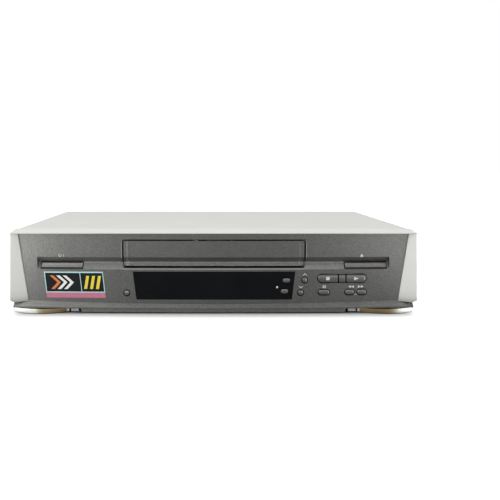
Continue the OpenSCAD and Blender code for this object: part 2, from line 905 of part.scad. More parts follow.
module fascia() {
  heights = [lip_root - 0.6, fascia_top];
  groove_end = groove_half + wall;
  color([0.38, 0.38, 0.37])
    difference() {
      union() {
        intersection() {
          along_bow(face_reach)
            groove_section(heights, wall, true);
          span([-groove_half, groove_half], [front_y - 5, front_y + 30], [0, top_z]);
        }
        intersection() {
          along_bow(face_reach)
            groove_section(heights, wall, false);
          both_sides()
            span([groove_half, groove_end], [front_y - 5, front_y + 30], [0, top_z]);
        }
        intersection() {
          along_bow(face_reach)
            plain_section(heights, [0, wall]);
          through_face()
            difference() {
              between_cheeks(0.05);
              translate([-groove_end, 0])
                square([2 * groove_end, top_z]);
            }
        }
        lip();
        apron();
        both_sides_of_door()
          span([door_w / 2 + 0.8, door_w / 2 + 0.8 + ear_t],
            [face_y(door_w / 2, hinge_z) + wall / 2, hinge_y + 3], [hinge_z - 3.6, hinge_z + 3]);
        both_sides()
          for (x = board_boss_x)
            rod_y(3, x, [face_y(x, board_boss_z) + wall / 2, board_y - eps], board_boss_z);
      }
      through_face()
        door_outline(0);
      through_face()
        window_outline(seam);
      through_face()
        face_key_holes();
      for (x = [-power_left, eject_x])
        through_face()
          bar_outline(x, key_gap);
      rod_x(pin_r + fit, [door_x - door_w / 2 - 4, door_x + door_w / 2 + 4], hinge_y, hinge_z);
    }
}

module both_sides_of_door() {
  translate([door_x, 0, 0])
    both_sides()
      children();
}

module cassette_door() {
  reach = door_w / 2 + 4;
  door_edge = door_top - door_gap - 0.4;
  color([0.36, 0.36, 0.35]) {
    intersection() {
      along_bow([-reach, reach])
        groove_section([door_low - 2, door_top + 2], door_t, true);
      through_face()
        door_outline(door_gap);
    }
    for (s = [-1, 1])
      along_bow([door_x + s * (door_half - 3.5) - 1.3, door_x + s * (door_half - 3.5) + 1.3])
        plain_section([groove_top + 0.6, door_top - door_gap - 0.8], [-0.35, 0.5]);
    both_sides_of_door() {
      along_x([door_half - ear_t, door_half])
        polygon([
          [face_y(door_half, door_top) + 1.2, door_top - 10], [face_y(door_half, door_top) + 1.2, door_edge],
          [hinge_y - hinge_boss_r, door_edge], [hinge_y - hinge_boss_r, hinge_z],
          [hinge_y + hinge_boss_r, hinge_z], [hinge_y + hinge_boss_r, door_top - 4]
        ]);
      rod_x(hinge_boss_r, [door_half - ear_t, door_half], hinge_y, hinge_z);
      rod_x(pin_r, [door_half - 1, door_w / 2 + 0.8 + pin_l], hinge_y, hinge_z);
    }
  }
}

module display_window() {
  back_d = wall + seam;
  reach = [win_left_top - 4, win_right_top + 4];
  heights = [win_low - 4, win_top + 4];
  color([0.07, 0.08, 0.09])
    difference() {
      union() {
        intersection() {
          along_bow(reach)
            plain_section(heights, [win_sunk, back_d + win_rim_t / 2]);
          through_face()
            window_outline(0);
        }
        intersection() {
          along_bow(reach)
            plain_section(heights, [back_d, back_d + win_rim_t]);
          through_face()
            window_outline(win_rim);
        }
      }
      through_face()
        window_key_holes();
      intersection() {
        along_bow(reach)
          plain_section([win_low + 1.5, win_top - 1.5], [win_sunk + win_t, back_d + 3]);
        span([-tube_l / 2 - 4, tube_l / 2 + 4], [front_y, front_y + 30], [0, win_top]);
      }
    }
}

tube_front = face_y(0, win_low) + wall + seam + win_rim_t + 0.6;

module display_tube() {
  mid = (win_top + win_low) / 2;
  color([0.2, 0.24, 0.24]) {
    span([-tube_l / 2, tube_l / 2], [tube_front, tube_front + 5.5], [mid - 10.5, mid + 10.5]);
    rod_x(2, [tube_l / 2 - eps, tube_l / 2 + 5], tube_front + 2.75, mid);
    span([-tube_l / 2 + 6, tube_l / 2 - 6], [tube_front + 5.5 - eps, board_y - eps], [mid - 11.5, mid - 9.5]);
  }
}

board_edge = [-(groove_half - 1), groove_half - 1];

module front_board() {
  high = bar_z + 6;
  low = tray_z + 7.5;
  mid = door_low - 4;
  tab = door_w / 2 + 12;
  color([0.62, 0.5, 0.26])
    along_y([board_y, board_y + board_t])
      polygon([
        [board_edge[0], low], [board_edge[1], low], [board_edge[1], high], [tab, high],
        [tab, mid], [-tab, mid], [-tab, high], [board_edge[0], high]
      ]);
}

module key_switches() {
  color([0.2, 0.2, 0.2])
    for (k = key_sites) {
      span([k[0] - switch_w / 2, k[0] + switch_w / 2], [board_y - switch_t, board_y],
        [k[1] - switch_w / 2, k[1] + switch_w / 2]);
      rod_y(plunger_r, k[0], [board_y - switch_t - plunger_t, board_y - switch_t + eps], k[1]);
    }
}

// Front buttons

// A button in the face: its cap, its flange and the stem to its switch

module face_key(i, w, h, back) {
  x = key_sites[i][0];
  z = key_sites[i][1];
  front = tidy(face_y(x, z) - key_proud);
  rear = tidy(face_y(abs(x) + w / 2 + 2, z - h / 2 - 2) + back + gap);
  grow = 2 * (key_gap + flange_w);
  color([0.42, 0.42, 0.41]) {
    cap(x, z, w, h, [front, rear + flange_t / 2]);
    along_y([rear, rear + flange_t])
      pill_2d(x, z, w + grow, h + grow);
    rod_y(2, x, [rear + flange_t / 2, stem_end], z);
  }
}

module bar_key(x) {
  rear = front_y + bow(abs(x) + bar_w / 2 + 2) + groove_mid_d + wall + gap;
  face = front_y + bow(x);
  web_low = bar_low + 1.6;
  web_high = bar_high - 1.2;
  color([0.42, 0.42, 0.41]) {
    translate([x, face, 0])
      rotate([0, 0, asin(x / bow_r)]) {
        along_x([-bar_w / 2, bar_w / 2])
          polygon([
            [slope_d(bar_low) - 0.7, bar_low], [slope_d(bar_high) - 0.7, bar_high],
            [slope_d(bar_high) + 2.4, bar_high], [slope_d(bar_low) + 2.4, bar_low]
          ]);
        along_x([-12, 12])
          polygon([
            [slope_d(web_low) + 1, web_low], [slope_d(web_high) + 1, web_high],
            [rear - face + 0.6, web_high], [rear - face + 0.6, web_low]
          ]);
      }
    span([x - bar_w / 2 - 1.6, x + bar_w / 2 + 1.6], [rear, rear + flange_t], [bar_low - 2, bar_high + 2]);
    rod_y(2, x, [rear + flange_t / 2, stem_end], bar_z);
  }
}

module power_button() {
  bar_key(-power_left);
}

module eject_button() {
  bar_key(eject_x);
}

// Stop and play are the two ends of one pill, with a fixed spacer between them
module transport_piece(x, y_back) {
  z = transport_z;
  front = tidy(face_y(transport_x, z) - key_proud);
  rear = tidy(face_y(transport_x + transport_w / 2 + 2, z - transport_tall / 2 - 2) + wall + gap);
  grow = key_gap + flange_w;
  intersection() {
    union() {
      cap(transport_x, z, transport_w, transport_tall, [front, rear + flange_t / 2]);
      along_y([rear, rear + flange_t])
        pill_2d(transport_x, z, transport_w + 2 * grow, transport_tall + 2 * grow);
    }
    span(x, [front - 1, y_back], [z - 12, z + 12]);
  }
}

row_left = transport_x - transport_w / 2;
row_right = transport_x + transport_w / 2;

module stop_button() {
  color([0.42, 0.42, 0.41]) {
    transport_piece([row_left - 5, row_left + half_row], stem_end);
    rod_y(2, stop_x, [face_y(stop_x, transport_z) + wall, stem_end], transport_z);
  }
}

module play_button() {
  color([0.42, 0.42, 0.41]) {
    transport_piece([row_right - half_row, row_right + 5], stem_end);
    rod_y(2, play_x, [face_y(play_x, transport_z) + wall, stem_end], transport_z);
  }
}

module button_spacer() {
  color([0.42, 0.42, 0.41])
    transport_piece([transport_x - spacer_w / 2, transport_x + spacer_w / 2], stem_end);
}

module pause_button() {
  face_key(4, pause_w, low_row_tall, wall);
}

module rewind_button() {
  face_key(5, wind_w, low_row_tall, wall);
}

module forward_button() {
  face_key(6, wind_w, low_row_tall, wall);
}

module channel_up_button() {
  face_key(7, round_d, round_d, wall);
}

module channel_down_button() {
  face_key(8, round_d, round_d, wall);
}

module timer_button() {
  face_key(9, win_key_w, win_key_tall, wall + seam + win_rim_t);
}

module record_button() {
  face_key(10, win_key_w, win_key_tall, wall + seam + win_rim_t);
}

module link_button() {
  face_key(11, round_d, round_d, wall);
}

module front_label() {
  low = groove_low - 2.5 - label_h;
  lean_in = 3;
  left = -side_x + label_in;
  right = left + label_w;
  color([0.2, 0.2, 0.22])
    intersection() {
      along_bow([left - 1, right + 1])
        plain_section([low - 1, low + label_h + 1], [-0.2, 0]);
      along_y([front_y - 5, front_y + 20])
        polygon([
          [left, low + label_h], [right - lean_in, low + label_h], [right, low], [left + lean_in, low]
        ]);
    }
}

// Feet

foot_front = front_y + foot_back;
foot_top = lip_under - seam;
rear_foot_x = side_x - 50;
rear_foot_y = back_y - 35;

module front_feet() {
  color([0.78, 0.66, 0.42])
    both_sides() {
      intersection() {
        rod_z(foot_arc_r, foot_x, foot_front + foot_arc_r, [pad_t, foot_top], $fn = 180);
        span([foot_x - foot_w / 2, foot_x + foot_w / 2], [foot_front - 1, foot_front + foot_d],
          [0, tray_z]);
      }
      span([foot_x - 20, foot_x + 20], [tray_front + 1, foot_front + foot_d - 1],
        [foot_top - eps, tray_z]);
    }
}

module rubber_feet() {
  color([0.12, 0.12, 0.12])
    both_sides() {
      rod_z(rear_foot_r, rear_foot_x, rear_foot_y, [0, tray_z]);
      rod_z(9, foot_x, foot_front + foot_d - 14, [0, pad_t]);
    }
}

// Rear

module rear_panel() {
  color([0.3, 0.3, 0.3])
    difference() {
      along_y([panel_y - panel_t, panel_y])
        cover_outline(inside_half, ceiling_z - seam, cover_bend - cover_t - seam, tray_z + 1.5);
      for (i = [0, 1])
        translate([scart_x, panel_y, scart_low_z + i * scart_pitch])
          cube([scart_w + 2 * seam, 4 * panel_t, scart_h + 2 * seam], center = true);
      for (i = [0, 1])
        rod_y(aerial_r + seam, aerial_x, [panel_y - 9, panel_y + 9], aerial_low_z + i * aerial_pitch);
      translate([-inlet_left, panel_y, inlet_z])
        cube([inlet_w + 2 * seam, 4 * panel_t, inlet_h + 2 * seam], center = true);
      for (x = rear_screw_x)
        rod_y(1.6, x, [panel_y - 9, panel_y + 9], rear_screw_z);
      for (i = [0 : 15])
        span([-100 + 8 * i, -97 + 8 * i], [panel_y - 9, panel_y + 9], [tray_z + 52, tray_z + 70]);
    }
}

module scart_sockets() {
  color([0.08, 0.08, 0.08])
    for (i = [0, 1])
      translate([scart_x, 0, scart_low_z + i * scart_pitch]) {
        difference() {
          span([-scart_w / 2, scart_w / 2], [socket_y - scart_d, socket_y], [-scart_h / 2, scart_h / 2]);
          along_y([socket_y - 10, socket_y + 1])
            polygon([
              [-scart_w / 2 + 1.5, scart_h / 2 - 1.5], [scart_w / 2 - 1.5, scart_h / 2 - 1.5],
              [scart_w / 2 - 1.5, -scart_h / 2 + 4.5], [scart_w / 2 - 4.5, -scart_h / 2 + 1.5],
              [-scart_w / 2 + 1.5, -scart_h / 2 + 1.5]
            ]);
        }
        difference() {
          span([-scart_w / 2 + 4, scart_w / 2 - 5.5], [socket_y - 12, socket_y - 1],
            [-scart_h / 2 + 4, scart_h / 2 - 3.5]);
          for (k = [0 : 9], s = [0, 1])
            span([-17.6 + 3.4 * k + 1.2 * s, -16.6 + 3.4 * k + 1.2 * s],
              [socket_y - 9, socket_y], [s * 4 - 2.4, s * 4 - 0.6]);
        }
      }
  color([0.08, 0.08, 0.08]) {
    span([scart_x - scart_w / 2 + 2, scart_x + scart_w / 2 - 2], [socket_y - scart_d, socket_y - 8],
      [board_top, scart_low_z - scart_h / 2 + eps]);
    span([scart_x - scart_w / 2 + 2, scart_x + scart_w / 2 - 2], [socket_y - scart_d, socket_y - 8],
      [scart_low_z + scart_h / 2 - eps, scart_low_z + scart_pitch - scart_h / 2 + eps]);
  }
}

tuner_back = tray_back - tray_t - seam;
tuner_d = 50;
tuner_half = 25;

module aerial_sockets() {
  color([0.8, 0.8, 0.78])
    for (i = [0, 1])
      translate([aerial_x, 0, aerial_low_z + i * aerial_pitch]) {
        difference() {
          rod_y(aerial_r, 0, [tuner_back, socket_y], 0);
          rod_y(aerial_r - 1.2, 0, [socket_y - 6.5, socket_y + 1], 0);
        }
        rod_y(1.3, 0, [socket_y - 7, socket_y - 1.5], 0);
      }
}

module tuner_box() {
  color([0.74, 0.74, 0.72])
    difference() {
      span([aerial_x - tuner_half, aerial_x + tuner_half], [tuner_back - tuner_d, tuner_back],
        [board_top, aerial_low_z + aerial_pitch + 8]);
      for (i = [0 : 4])
        span([aerial_x - 18 + 8 * i, aerial_x - 15 + 8 * i], [tuner_back - 40, tuner_back - 10],
          [aerial_low_z + aerial_pitch + 7, aerial_low_z + aerial_pitch + 9]);
    }
}

module mains_inlet() {
  color([0.1, 0.1, 0.1])
    translate([-inlet_left, 0, inlet_z]) {
      difference() {
        span([-inlet_w / 2, inlet_w / 2], [socket_y - 20, socket_y], [-inlet_h / 2, inlet_h / 2]);
        along_y([socket_y - 14, socket_y + 1])
          pill_2d(0, 0, 16, 8.4);
      }
      for (s = [-1, 1])
        rod_y(1.2, 4.3 * s, [socket_y - 15, socket_y - 4], 0);
      span([-inlet_w / 2 + 2, inlet_w / 2 - 2], [socket_y - 20, socket_y - 8],
        [board_top - inlet_z, -inlet_h / 2 + eps]);
    }
}

// Boards

board_out = side_x - 10;
board_in = deck_half + door_x + 8;
board_front_y = front_board_d + front_y + 14;
board_back_y = tray_back - 3;
board_strip_y = deck_back + 5;
board_posts_x = [-board_out + 8, -board_in - 8, board_in + 8, board_out - 8];
board_posts_y = [board_front_y + 8, board_back_y - 8];

module main_board() {
  color([0.66, 0.52, 0.25]) {
    both_sides()
      span([board_in, board_out], [board_front_y, board_back_y], [board_z, board_top]);
    span([-board_in - eps, board_in + eps], [board_strip_y, board_back_y], [board_z, board_top]);
  }
}

module capacitor(x, y, r, h) {
  rod_z(r, x, y, [board_top, board_top + h]);
}

module board_components() {
  color([0.12, 0.15, 0.3]) {
    for (i = [0 : 3])
      capacitor(-board_out + 20 + 16 * i, board_front_y + 30, 5, 16);
    for (i = [0 : 4])
      capacitor(board_in + 12 + 15 * i, board_front_y + 22, 3.2, 11);
    capacitor(-board_in - 16, board_front_y + 107, 11, 34);
  }
  color([0.1, 0.1, 0.1]) {
    for (i = [0 : 2])
      span([board_in + 12, board_in + 34], [board_front_y + 45 + 38 * i, board_front_y + 67 + 38 * i],
        [board_top, board_top + 3]);
    for (i = [0 : 3])
      span([board_in + 50, board_in + 62], [board_front_y + 40 + 24 * i, board_front_y + 60 + 24 * i],
        [board_top, board_top + 5]);
    for (i = [0 : 4])
      span([-70 + 22 * i, -58 + 22 * i], [board_strip_y + 5, board_strip_y + 14],
        [board_top, board_top + 6]);
  }
}

transformer_x = -side_x + 50;
transformer_y = back_y - 70;

module transformer() {
  translate([transformer_x, transformer_y, board_top]) {
    color([0.35, 0.35, 0.36])
      difference() {
        span([-26, 26], [-10, 10], [3, 43]);
        for (s = [-1, 1])
          span([s * 13 - 5, s * 13 + 5], [-11, 11], [11, 35]);
      }
    color([0.85, 0.72, 0.3])
      difference() {
        span([-17.5, 17.5], [-20, 20], [11.3, 34.7]);
        span([-7.7, 7.7], [-10.3, 10.3], [10, 36]);
        span([-18, -17.5], [-21, 21], [10, 36]);
      }
    color([0.35, 0.35, 0.36])
      for (s = [-1, 1])
        span([s * 22 - 4, s * 22 + 4], [-10, 10], [0, 3 + eps]);
  }
}

module heat_sink() {
  x0 = -board_in - 40;
  y0 = board_front_y + 37;
  color([0.7, 0.7, 0.7]) {
    span([x0, x0 + 34], [y0, y0 + 4], [board_top, board_top + 36]);
    for (i = [0 : 5])
      span([x0 + 6 * i, x0 + 6 * i + 1.6], [y0 + 4 - eps, y0 + 16], [board_top + 4, board_top + 36]);
  }
}

// Tape deck

module at_deck() {
  translate([door_x, 0, 0])
    children();
}

module at_drum() {
  translate([door_x, drum_y, deck_top])
    rotate([0, drum_tilt, 0])
      children();
}

guide_slot_r = 2.9 + gap;

module guide_slot(side) {
  start = side > 0 ? -90 + guide_start_deg : -90 - guide_start_deg - guide_turn_deg;
  translate([0, drum_y, deck_z - 1]) {
    rotate([0, 0, start])
      rotate_extrude(angle = guide_turn_deg, $fn = 120)
        translate([guide_path_r - guide_slot_r, 0])
          square([2 * guide_slot_r, deck_t + 2]);
    for (a = [start, start + guide_turn_deg])
      translate([guide_path_r * cos(a), guide_path_r * sin(a), 0])
        cylinder(r = guide_slot_r, h = deck_t + 2);
  }
}

tension_x = -84;
tension_y = 30;
tension_l = 24;
tension_deg = -30;

module deck_chassis() {
  color([0.72, 0.73, 0.72])
    at_deck()
      difference() {
        union() {
          translate([0, 0, deck_z])
            linear_extrude(deck_t)
              rounded_box_2d([-deck_half, deck_half], [-deck_front, deck_back], 5);
          both_sides()
            span([deck_half - deck_t, deck_half], [-deck_front + 20, deck_back - 20],
              [deck_z - 5, deck_z + eps]);
          for (s = [-1, 1])
            rod_z(reel_post_r, s * reel_x, reel_y, [deck_top - eps, deck_top + reel_spindle_h]);
          rod_z(4, 0, clutch_y, [deck_z - 3, deck_z + eps]);
          rod_z(3, pinch_x, pinch_y, [deck_top - eps, pinch_post_z]);
          rod_z(post_r, pinch_x, pinch_y, [pinch_post_z - eps, pinch_post_z + 3]);
          rod_z(3, -cam_left, cam_y, [deck_top - eps, gear_z - 6.3]);
          rod_z(post_r, -cam_left, cam_y, [gear_z - 6.3 - eps, gear_z + gear_t + 1]);
          rod_z(3, tension_x, tension_y, [deck_top - eps, deck_top + 2]);
          rod_z(post_r, tension_x, tension_y, [deck_top, deck_top + 6]);
        }
        guide_slot(1);
        guide_slot(-1);
        translate([0, drum_y, deck_z - 1])
          cylinder(r = 22.5, h = deck_t + 2);
        rod_z(4.6, capstan_x, capstan_y, [deck_z - 1, deck_top + 1]);
        rod_z(clutch_shaft_r + fit, 0, clutch_y, [deck_z - 9, deck_top + 1]);
        for (x = [-deck_leg_x, deck_leg_x], y = [-deck_leg_front, deck_leg_back])
          rod_z(1.6, x, y, [deck_z - 1, deck_top + 1]);
        span([-30, 30], [-deck_front + 6, -deck_front + 14], [deck_z - 1, deck_top + 1]);
      }
}

module lower_drum() {
  color([0.78, 0.79, 0.8])
    difference() {
      union() {
        translate([door_x, drum_y, deck_top])
          cylinder(r = 26, h = 6);
        at_drum()
          translate([0, 0, 5])
            cylinder(r = drum_r, h = lower_drum_h - 5, $fn = 96);
      }
      at_drum()
        translate([0, 0, -5])
          cylinder(r = drum_shaft_r + fit, h = lower_drum_h + 10);
    }
}

module upper_drum() {
  rotor_low = -11;
  rotor_top = -4.6;
  color([0.82, 0.83, 0.84])
    at_drum() {
      difference() {
        translate([0, 0, lower_drum_h + gap])
          cylinder(r = drum_r, h = upper_drum_h, $fn = 96);
        translate([0, 0, lower_drum_h + gap + upper_drum_h - 4])
          cylinder(r = drum_r - 6, h = 5);
        for (a = [90, 270])
          rotate([0, 0, a])
            translate([drum_r - 2.4, -1.5, lower_drum_h])
              cube([4, 3, 1.6]);
      }
      translate([0, 0, lower_drum_h + gap + upper_drum_h - 4 - eps])
        cylinder(r = 9, h = 3);
      translate([0, 0, rotor_low])
        cylinder(r = drum_shaft_r, h = lower_drum_h - rotor_low + upper_drum_h - 6);
      translate([0, 0, rotor_low])
        cylinder(r = 20, h = 2);
      difference() {
        translate([0, 0, rotor_low])
          cylinder(r = 20, h = rotor_top - rotor_low);
        translate([0, 0, rotor_low + 1])
          cylinder(r = 17, h = rotor_top - rotor_low);
      }
    }
}

module drum_motor() {
  color([0.25, 0.45, 0.3])
    at_drum()
      difference() {
        union() {
          translate([0, 0, -4.2])
            cylinder(r = 20, h = 2.35);
          for (i = [0 : 5])
            rotate([0, 0, 60 * i])
              translate([10.5, 0, -8])
                cylinder(r = 4, h = 4);
        }
        translate([0, 0, -9])
          cylinder(r = drum_shaft_r + 0.5, h = 10);
      }
}

module capstan() {
  color([0.8, 0.8, 0.8])
    at_deck() {
      rod_z(capstan_r, capstan_x, capstan_y, [pulley_z, capstan_top]);
      rod_z(flywheel_r, capstan_x, capstan_y, [pulley_z + pulley_h - eps, pulley_z + pulley_h + 5]);
      pulley(capstan_x, capstan_y, capstan_pulley_r);
    }
}

module pulley(x, y, r) {
  rod_z(r, x, y, [pulley_z, pulley_z + pulley_h]);
  for (z = [pulley_z, pulley_z + pulley_h - pulley_flange])
    rod_z(r + flange_proud, x, y, [z, z + pulley_flange]);
}

module capstan_motor() {
  low = pulley_z + pulley_h + 5 + 0.6;
  color([0.25, 0.45, 0.3])
    at_deck()
      difference() {
        union() {
          rod_z(flywheel_r - 2, capstan_x, capstan_y, [low, deck_z]);
          rod_z(4.4, capstan_x, capstan_y, [deck_z - eps, deck_top + 10]);
        }
        rod_z(capstan_r + fit, capstan_x, capstan_y, [low - 1, deck_top + 12]);
      }
}

module clutch_pulley() {
  color([0.9, 0.9, 0.88])
    at_deck() {
      pulley(0, clutch_y, clutch_pulley_r);
      rod_z(clutch_shaft_r, 0, clutch_y, [pulley_z + pulley_h - eps, wheel_z + wheel_t + 3]);
      rod_z(clutch_r, 0, clutch_y, [wheel_z, wheel_z + wheel_t]);
    }
}

// Outline of a belt round two pulleys: an arc round each and the runs between
module belt_outline(grow) {
  r1 = capstan_pulley_r + grow;
  r2 = clutch_pulley_r + grow;
  dx = -capstan_x;
  dy = clutch_y - capstan_y;
  to = atan2(dy, dx);
  open = acos((r1 - r2) / sqrt(dx * dx + dy * dy));
  steps = 30;
  polygon(concat(
    [for (i = [0 : steps]) let (a = to + open + (360 - 2 * open) * i / steps)
      [capstan_x + r1 * cos(a), capstan_y + r1 * sin(a)]],
    [for (i = [0 : steps]) let (a = to - open + 2 * open * i / steps)
      [r2 * cos(a), clutch_y + r2 * sin(a)]]
  ));
}

module drive_belt() {
  low = pulley_z + pulley_flange + 0.25;
  color([0.05, 0.05, 0.05])
    at_deck()
      translate([0, 0, low])
        linear_extrude(pulley_h - 2 * pulley_flange - 0.5)
          difference() {
            belt_outline(belt_play + belt_t);
            belt_outline(belt_play);
          }
}

module reel(x) {
  color([0.93, 0.93, 0.9])
    at_deck()
      translate([x, reel_y, 0])
        difference() {
          union() {
            rod_z(reel_r, 0, 0, [wheel_z, wheel_z + wheel_t]);
            rod_z(9, 0, 0, [deck_top + gap, deck_top + reel_hub_h - 3]);
            rod_z(spindle_r, 0, 0, [deck_top + gap, deck_top + reel_spindle_h]);
            for (a = [0 : 60 : 300])
              rotate([0, 0, a])
                span([0, spindle_r + 2], [-0.8, 0.8], [deck_top + 4, deck_top + reel_spindle_h - 3]);
          }
          rod_z(reel_post_r + fit, 0, 0, [deck_top, deck_top + reel_spindle_h + 1]);
        }
}

module supply_reel() {
  reel(-reel_x);
}

module take_up_reel() {
  reel(reel_x);
}

arm_z = wheel_z + wheel_t + 0.4;
arm_t = 1.2;

module idler_arm() {
  color([0.75, 0.76, 0.76])
    at_deck() {
      difference() {
        union() {
          rod_z(4.5, 0, clutch_y, [arm_z, arm_z + arm_t]);
          span([-3, 3], [idler_y, clutch_y], [arm_z, arm_z + arm_t]);
          rod_z(3, 0, idler_y, [arm_z, arm_z + arm_t]);
        }
        rod_z(clutch_shaft_r + fit, 0, clutch_y, [arm_z - 1, arm_z + arm_t + 1]);
      }
      rod_z(post_r, 0, idler_y, [wheel_z - 0.9, arm_z + eps]);
      rod_z(3, 0, idler_y, [wheel_z - 1, wheel_z - 0.4]);
    }
}

module idler_wheel() {
  color([0.1, 0.1, 0.1])
    at_deck()
      difference() {
        rod_z(idler_r, 0, idler_y, [wheel_z, wheel_z + wheel_t]);
        rod_z(post_r + fit, 0, idler_y, [wheel_z - 1, wheel_z + wheel_t + 1]);
      }
}

pinch_tip_x = pinch_x + pinch_l * cos(pinch_rest_deg);
pinch_tip_y = pinch_y + pinch_l * sin(pinch_rest_deg);

module pinch_arm() {
  color([0.7, 0.71, 0.71])
    at_deck() {
      difference() {
        union() {
          rod_z(4, pinch_x, pinch_y, [pinch_post_z + 0.1, pinch_post_z + 0.1 + pinch_arm_t]);
          translate([pinch_x, pinch_y, pinch_post_z + 0.1])
            rotate([0, 0, pinch_rest_deg])
              span([0, pinch_l], [-2.6, 2.6], [0, pinch_arm_t]);
          rod_z(3, pinch_tip_x, pinch_tip_y, [pinch_post_z + 0.1, pinch_post_z + 0.1 + pinch_arm_t]);
        }
        rod_z(post_r + fit, pinch_x, pinch_y, [pinch_post_z - 1, pinch_post_z + 4]);
      }
      rod_z(post_r, pinch_tip_x, pinch_tip_y, [pinch_roller_z - 0.5, pinch_post_z + 0.1 + eps]);
    }
}

module pinch_roller() {
  color([0.08, 0.08, 0.08])
    at_deck()
      difference() {
        rod_z(pinch_r, pinch_tip_x, pinch_tip_y, [pinch_roller_z, pinch_roller_z + pinch_roller_h]);
        rod_z(post_r + fit, pinch_tip_x, pinch_tip_y, [pinch_roller_z - 1, pinch_roller_z + pinch_roller_h + 1]);
      }
}

// A spur gear outline with straight-flanked teeth, thinned for running play
module gear_2d(n, turn) {
  pitch_r = gear_m * n / 2;
  root_r = pitch_r - 1.2 * gear_m;
  tip_r = pitch_r + 0.8 * gear_m;
  half = 0.2 * PI * gear_m;
  flank = tan(20);
  circle(root_r, $fn = 96);
  for (i = [0 : n - 1])
    rotate(turn + 360 * i / n)
      polygon([
        [root_r - 0.4, -half - flank * 1.2 * gear_m], [tip_r, -half + flank * 0.8 * gear_m],
        [tip_r, half - flank * 0.8 * gear_m], [root_r - 0.4, half + flank * 1.2 * gear_m]
      ]);
}

module cam_gear() {
  color([0.94, 0.93, 0.86])
    at_deck()
      translate([-cam_left, cam_y, 0])
        difference() {
          union() {
            translate([0, 0, gear_z])
              linear_extrude(gear_t)
                gear_2d(cam_n, pinion_deg);
            rod_z(12, 0, 0, [gear_z - 6, gear_z + eps]);
          }
          rod_z(post_r + fit, 0, 0, [gear_z - 9, gear_z + gear_t + 2]);
          difference() {
            rod_z(10, 0, 0, [gear_z - 7, gear_z - 3]);
            rod_z(8, 3, 0, [gear_z - 8, gear_z - 2]);
          }
        }
}

module motor_pinion() {
  color([0.94, 0.93, 0.86])
    at_deck()
      translate([motor_x, motor_y, 0])
        difference() {
          translate([0, 0, gear_z - 0.5])
            linear_extrude(gear_t + 1)
              gear_2d(pinion_n, pinion_deg + 180 + 180 / pinion_n);
          rod_z(1 + fit, 0, 0, [gear_z - 2, gear_z + gear_t + 2]);
        }
}

module loading_motor() {
  color([0.6, 0.61, 0.62])
    at_deck() {
      rod_z(motor_r, motor_x, motor_y, [deck_top, deck_top + motor_l]);
      rod_z(3, motor_x, motor_y, [deck_top + motor_l - eps, deck_top + motor_l + 1]);
      rod_z(1, motor_x, motor_y, [deck_top + motor_l, gear_z + gear_t + 1.5]);
    }
}

module tape_guide(side) {
  a = -90 + side * guide_start_deg;
  color([0.85, 0.85, 0.85])
    at_deck()
      translate([guide_path_r * cos(a), drum_y + guide_path_r * sin(a), 0]) {
        rod_z(6, 0, 0, [deck_top + gap, deck_top + 4]);
        rod_z(guide_slot_r - gap, 0, 0, [deck_z - gap - eps, deck_top + gap + eps]);
        rod_z(4.5, 0, 0, [deck_z - 3, deck_z - gap]);
        rod_z(1.4, 0, 0, [deck_top + 3, deck_top + 27]);
        difference() {
          rod_z(roller_r, 0, 0, [deck_top + 9, deck_top + 24]);
          rod_z(1.4 + fit, 0, 0, [deck_top + 8, deck_top + 25]);
        }
        rod_z(roller_r, 0, 0, [deck_top + 4 - eps, deck_top + 8.7]);
      }
}

module supply_guide() {
  tape_guide(-1);
}

module take_up_guide() {
  tape_guide(1);
}

module tension_arm() {
  z = deck_top + 2 + gap;
  color([0.7, 0.71, 0.71])
    at_deck()
      translate([tension_x, tension_y, z])
        rotate([0, 0, tension_deg]) {
          difference() {
            union() {
              cylinder(r = 4, h = 1.6);
              span([0, tension_l], [-2.4, 2.4], [0, 1.6]);
              translate([tension_l, 0, 0])
                cylinder(r = 2.4, h = 1.6);
            }
            translate([0, 0, -1])
              cylinder(r = post_r + fit, h = 4);
          }
          translate([tension_l, 0, 1.6 - eps])
            cylinder(r = 1.5, h = 20);
        }
}

module head_block(x, y, half, turn) {
  at_deck()
    translate([x, y, deck_top])
      rotate([0, 0, turn])
        difference() {
          union() {
            cylinder(r = half - 0.5, h = 8);
            span([-half, half], [-half, half], [8 - eps, 24]);
          }
          span([-0.3, 0.3], [half - 1, half + 1], [9, 23]);
        }
}

module erase_head() {
  color([0.6, 0.6, 0.6])
    head_block(-58, 36, 3.6, -60);
}

module audio_head() {
  color([0.62, 0.62, 0.6])
    head_block(56, 32, 4, 0);
}

// Cassette holder and its carriage

module cassette_holder() {
  color([0.75, 0.76, 0.76])
    at_deck() {
      span([-holder_out, holder_out], [holder_y0, holder_y1], [holder_top, holder_top + holder_t]);
      both_sides() {
        span([holder_half, holder_out], [holder_y0, holder_y1], [ledge_z - 1, holder_top + eps]);
        span([holder_half - ledge_w, holder_out], [holder_y0 - ledge_ahead, holder_y1],
          [ledge_z - holder_t, ledge_z]);
        span([holder_half - ledge_w + 1, holder_out], [holder_y1 - 1, holder_y1], [ledge_z - eps, ledge_z + 9]);
        for (y = [holder_pin_front, holder_pin_back])
          rod_x(holder_pin_r, [holder_out - eps, carriage_out + 0.5], y, holder_pin_z);
      }
    }
}

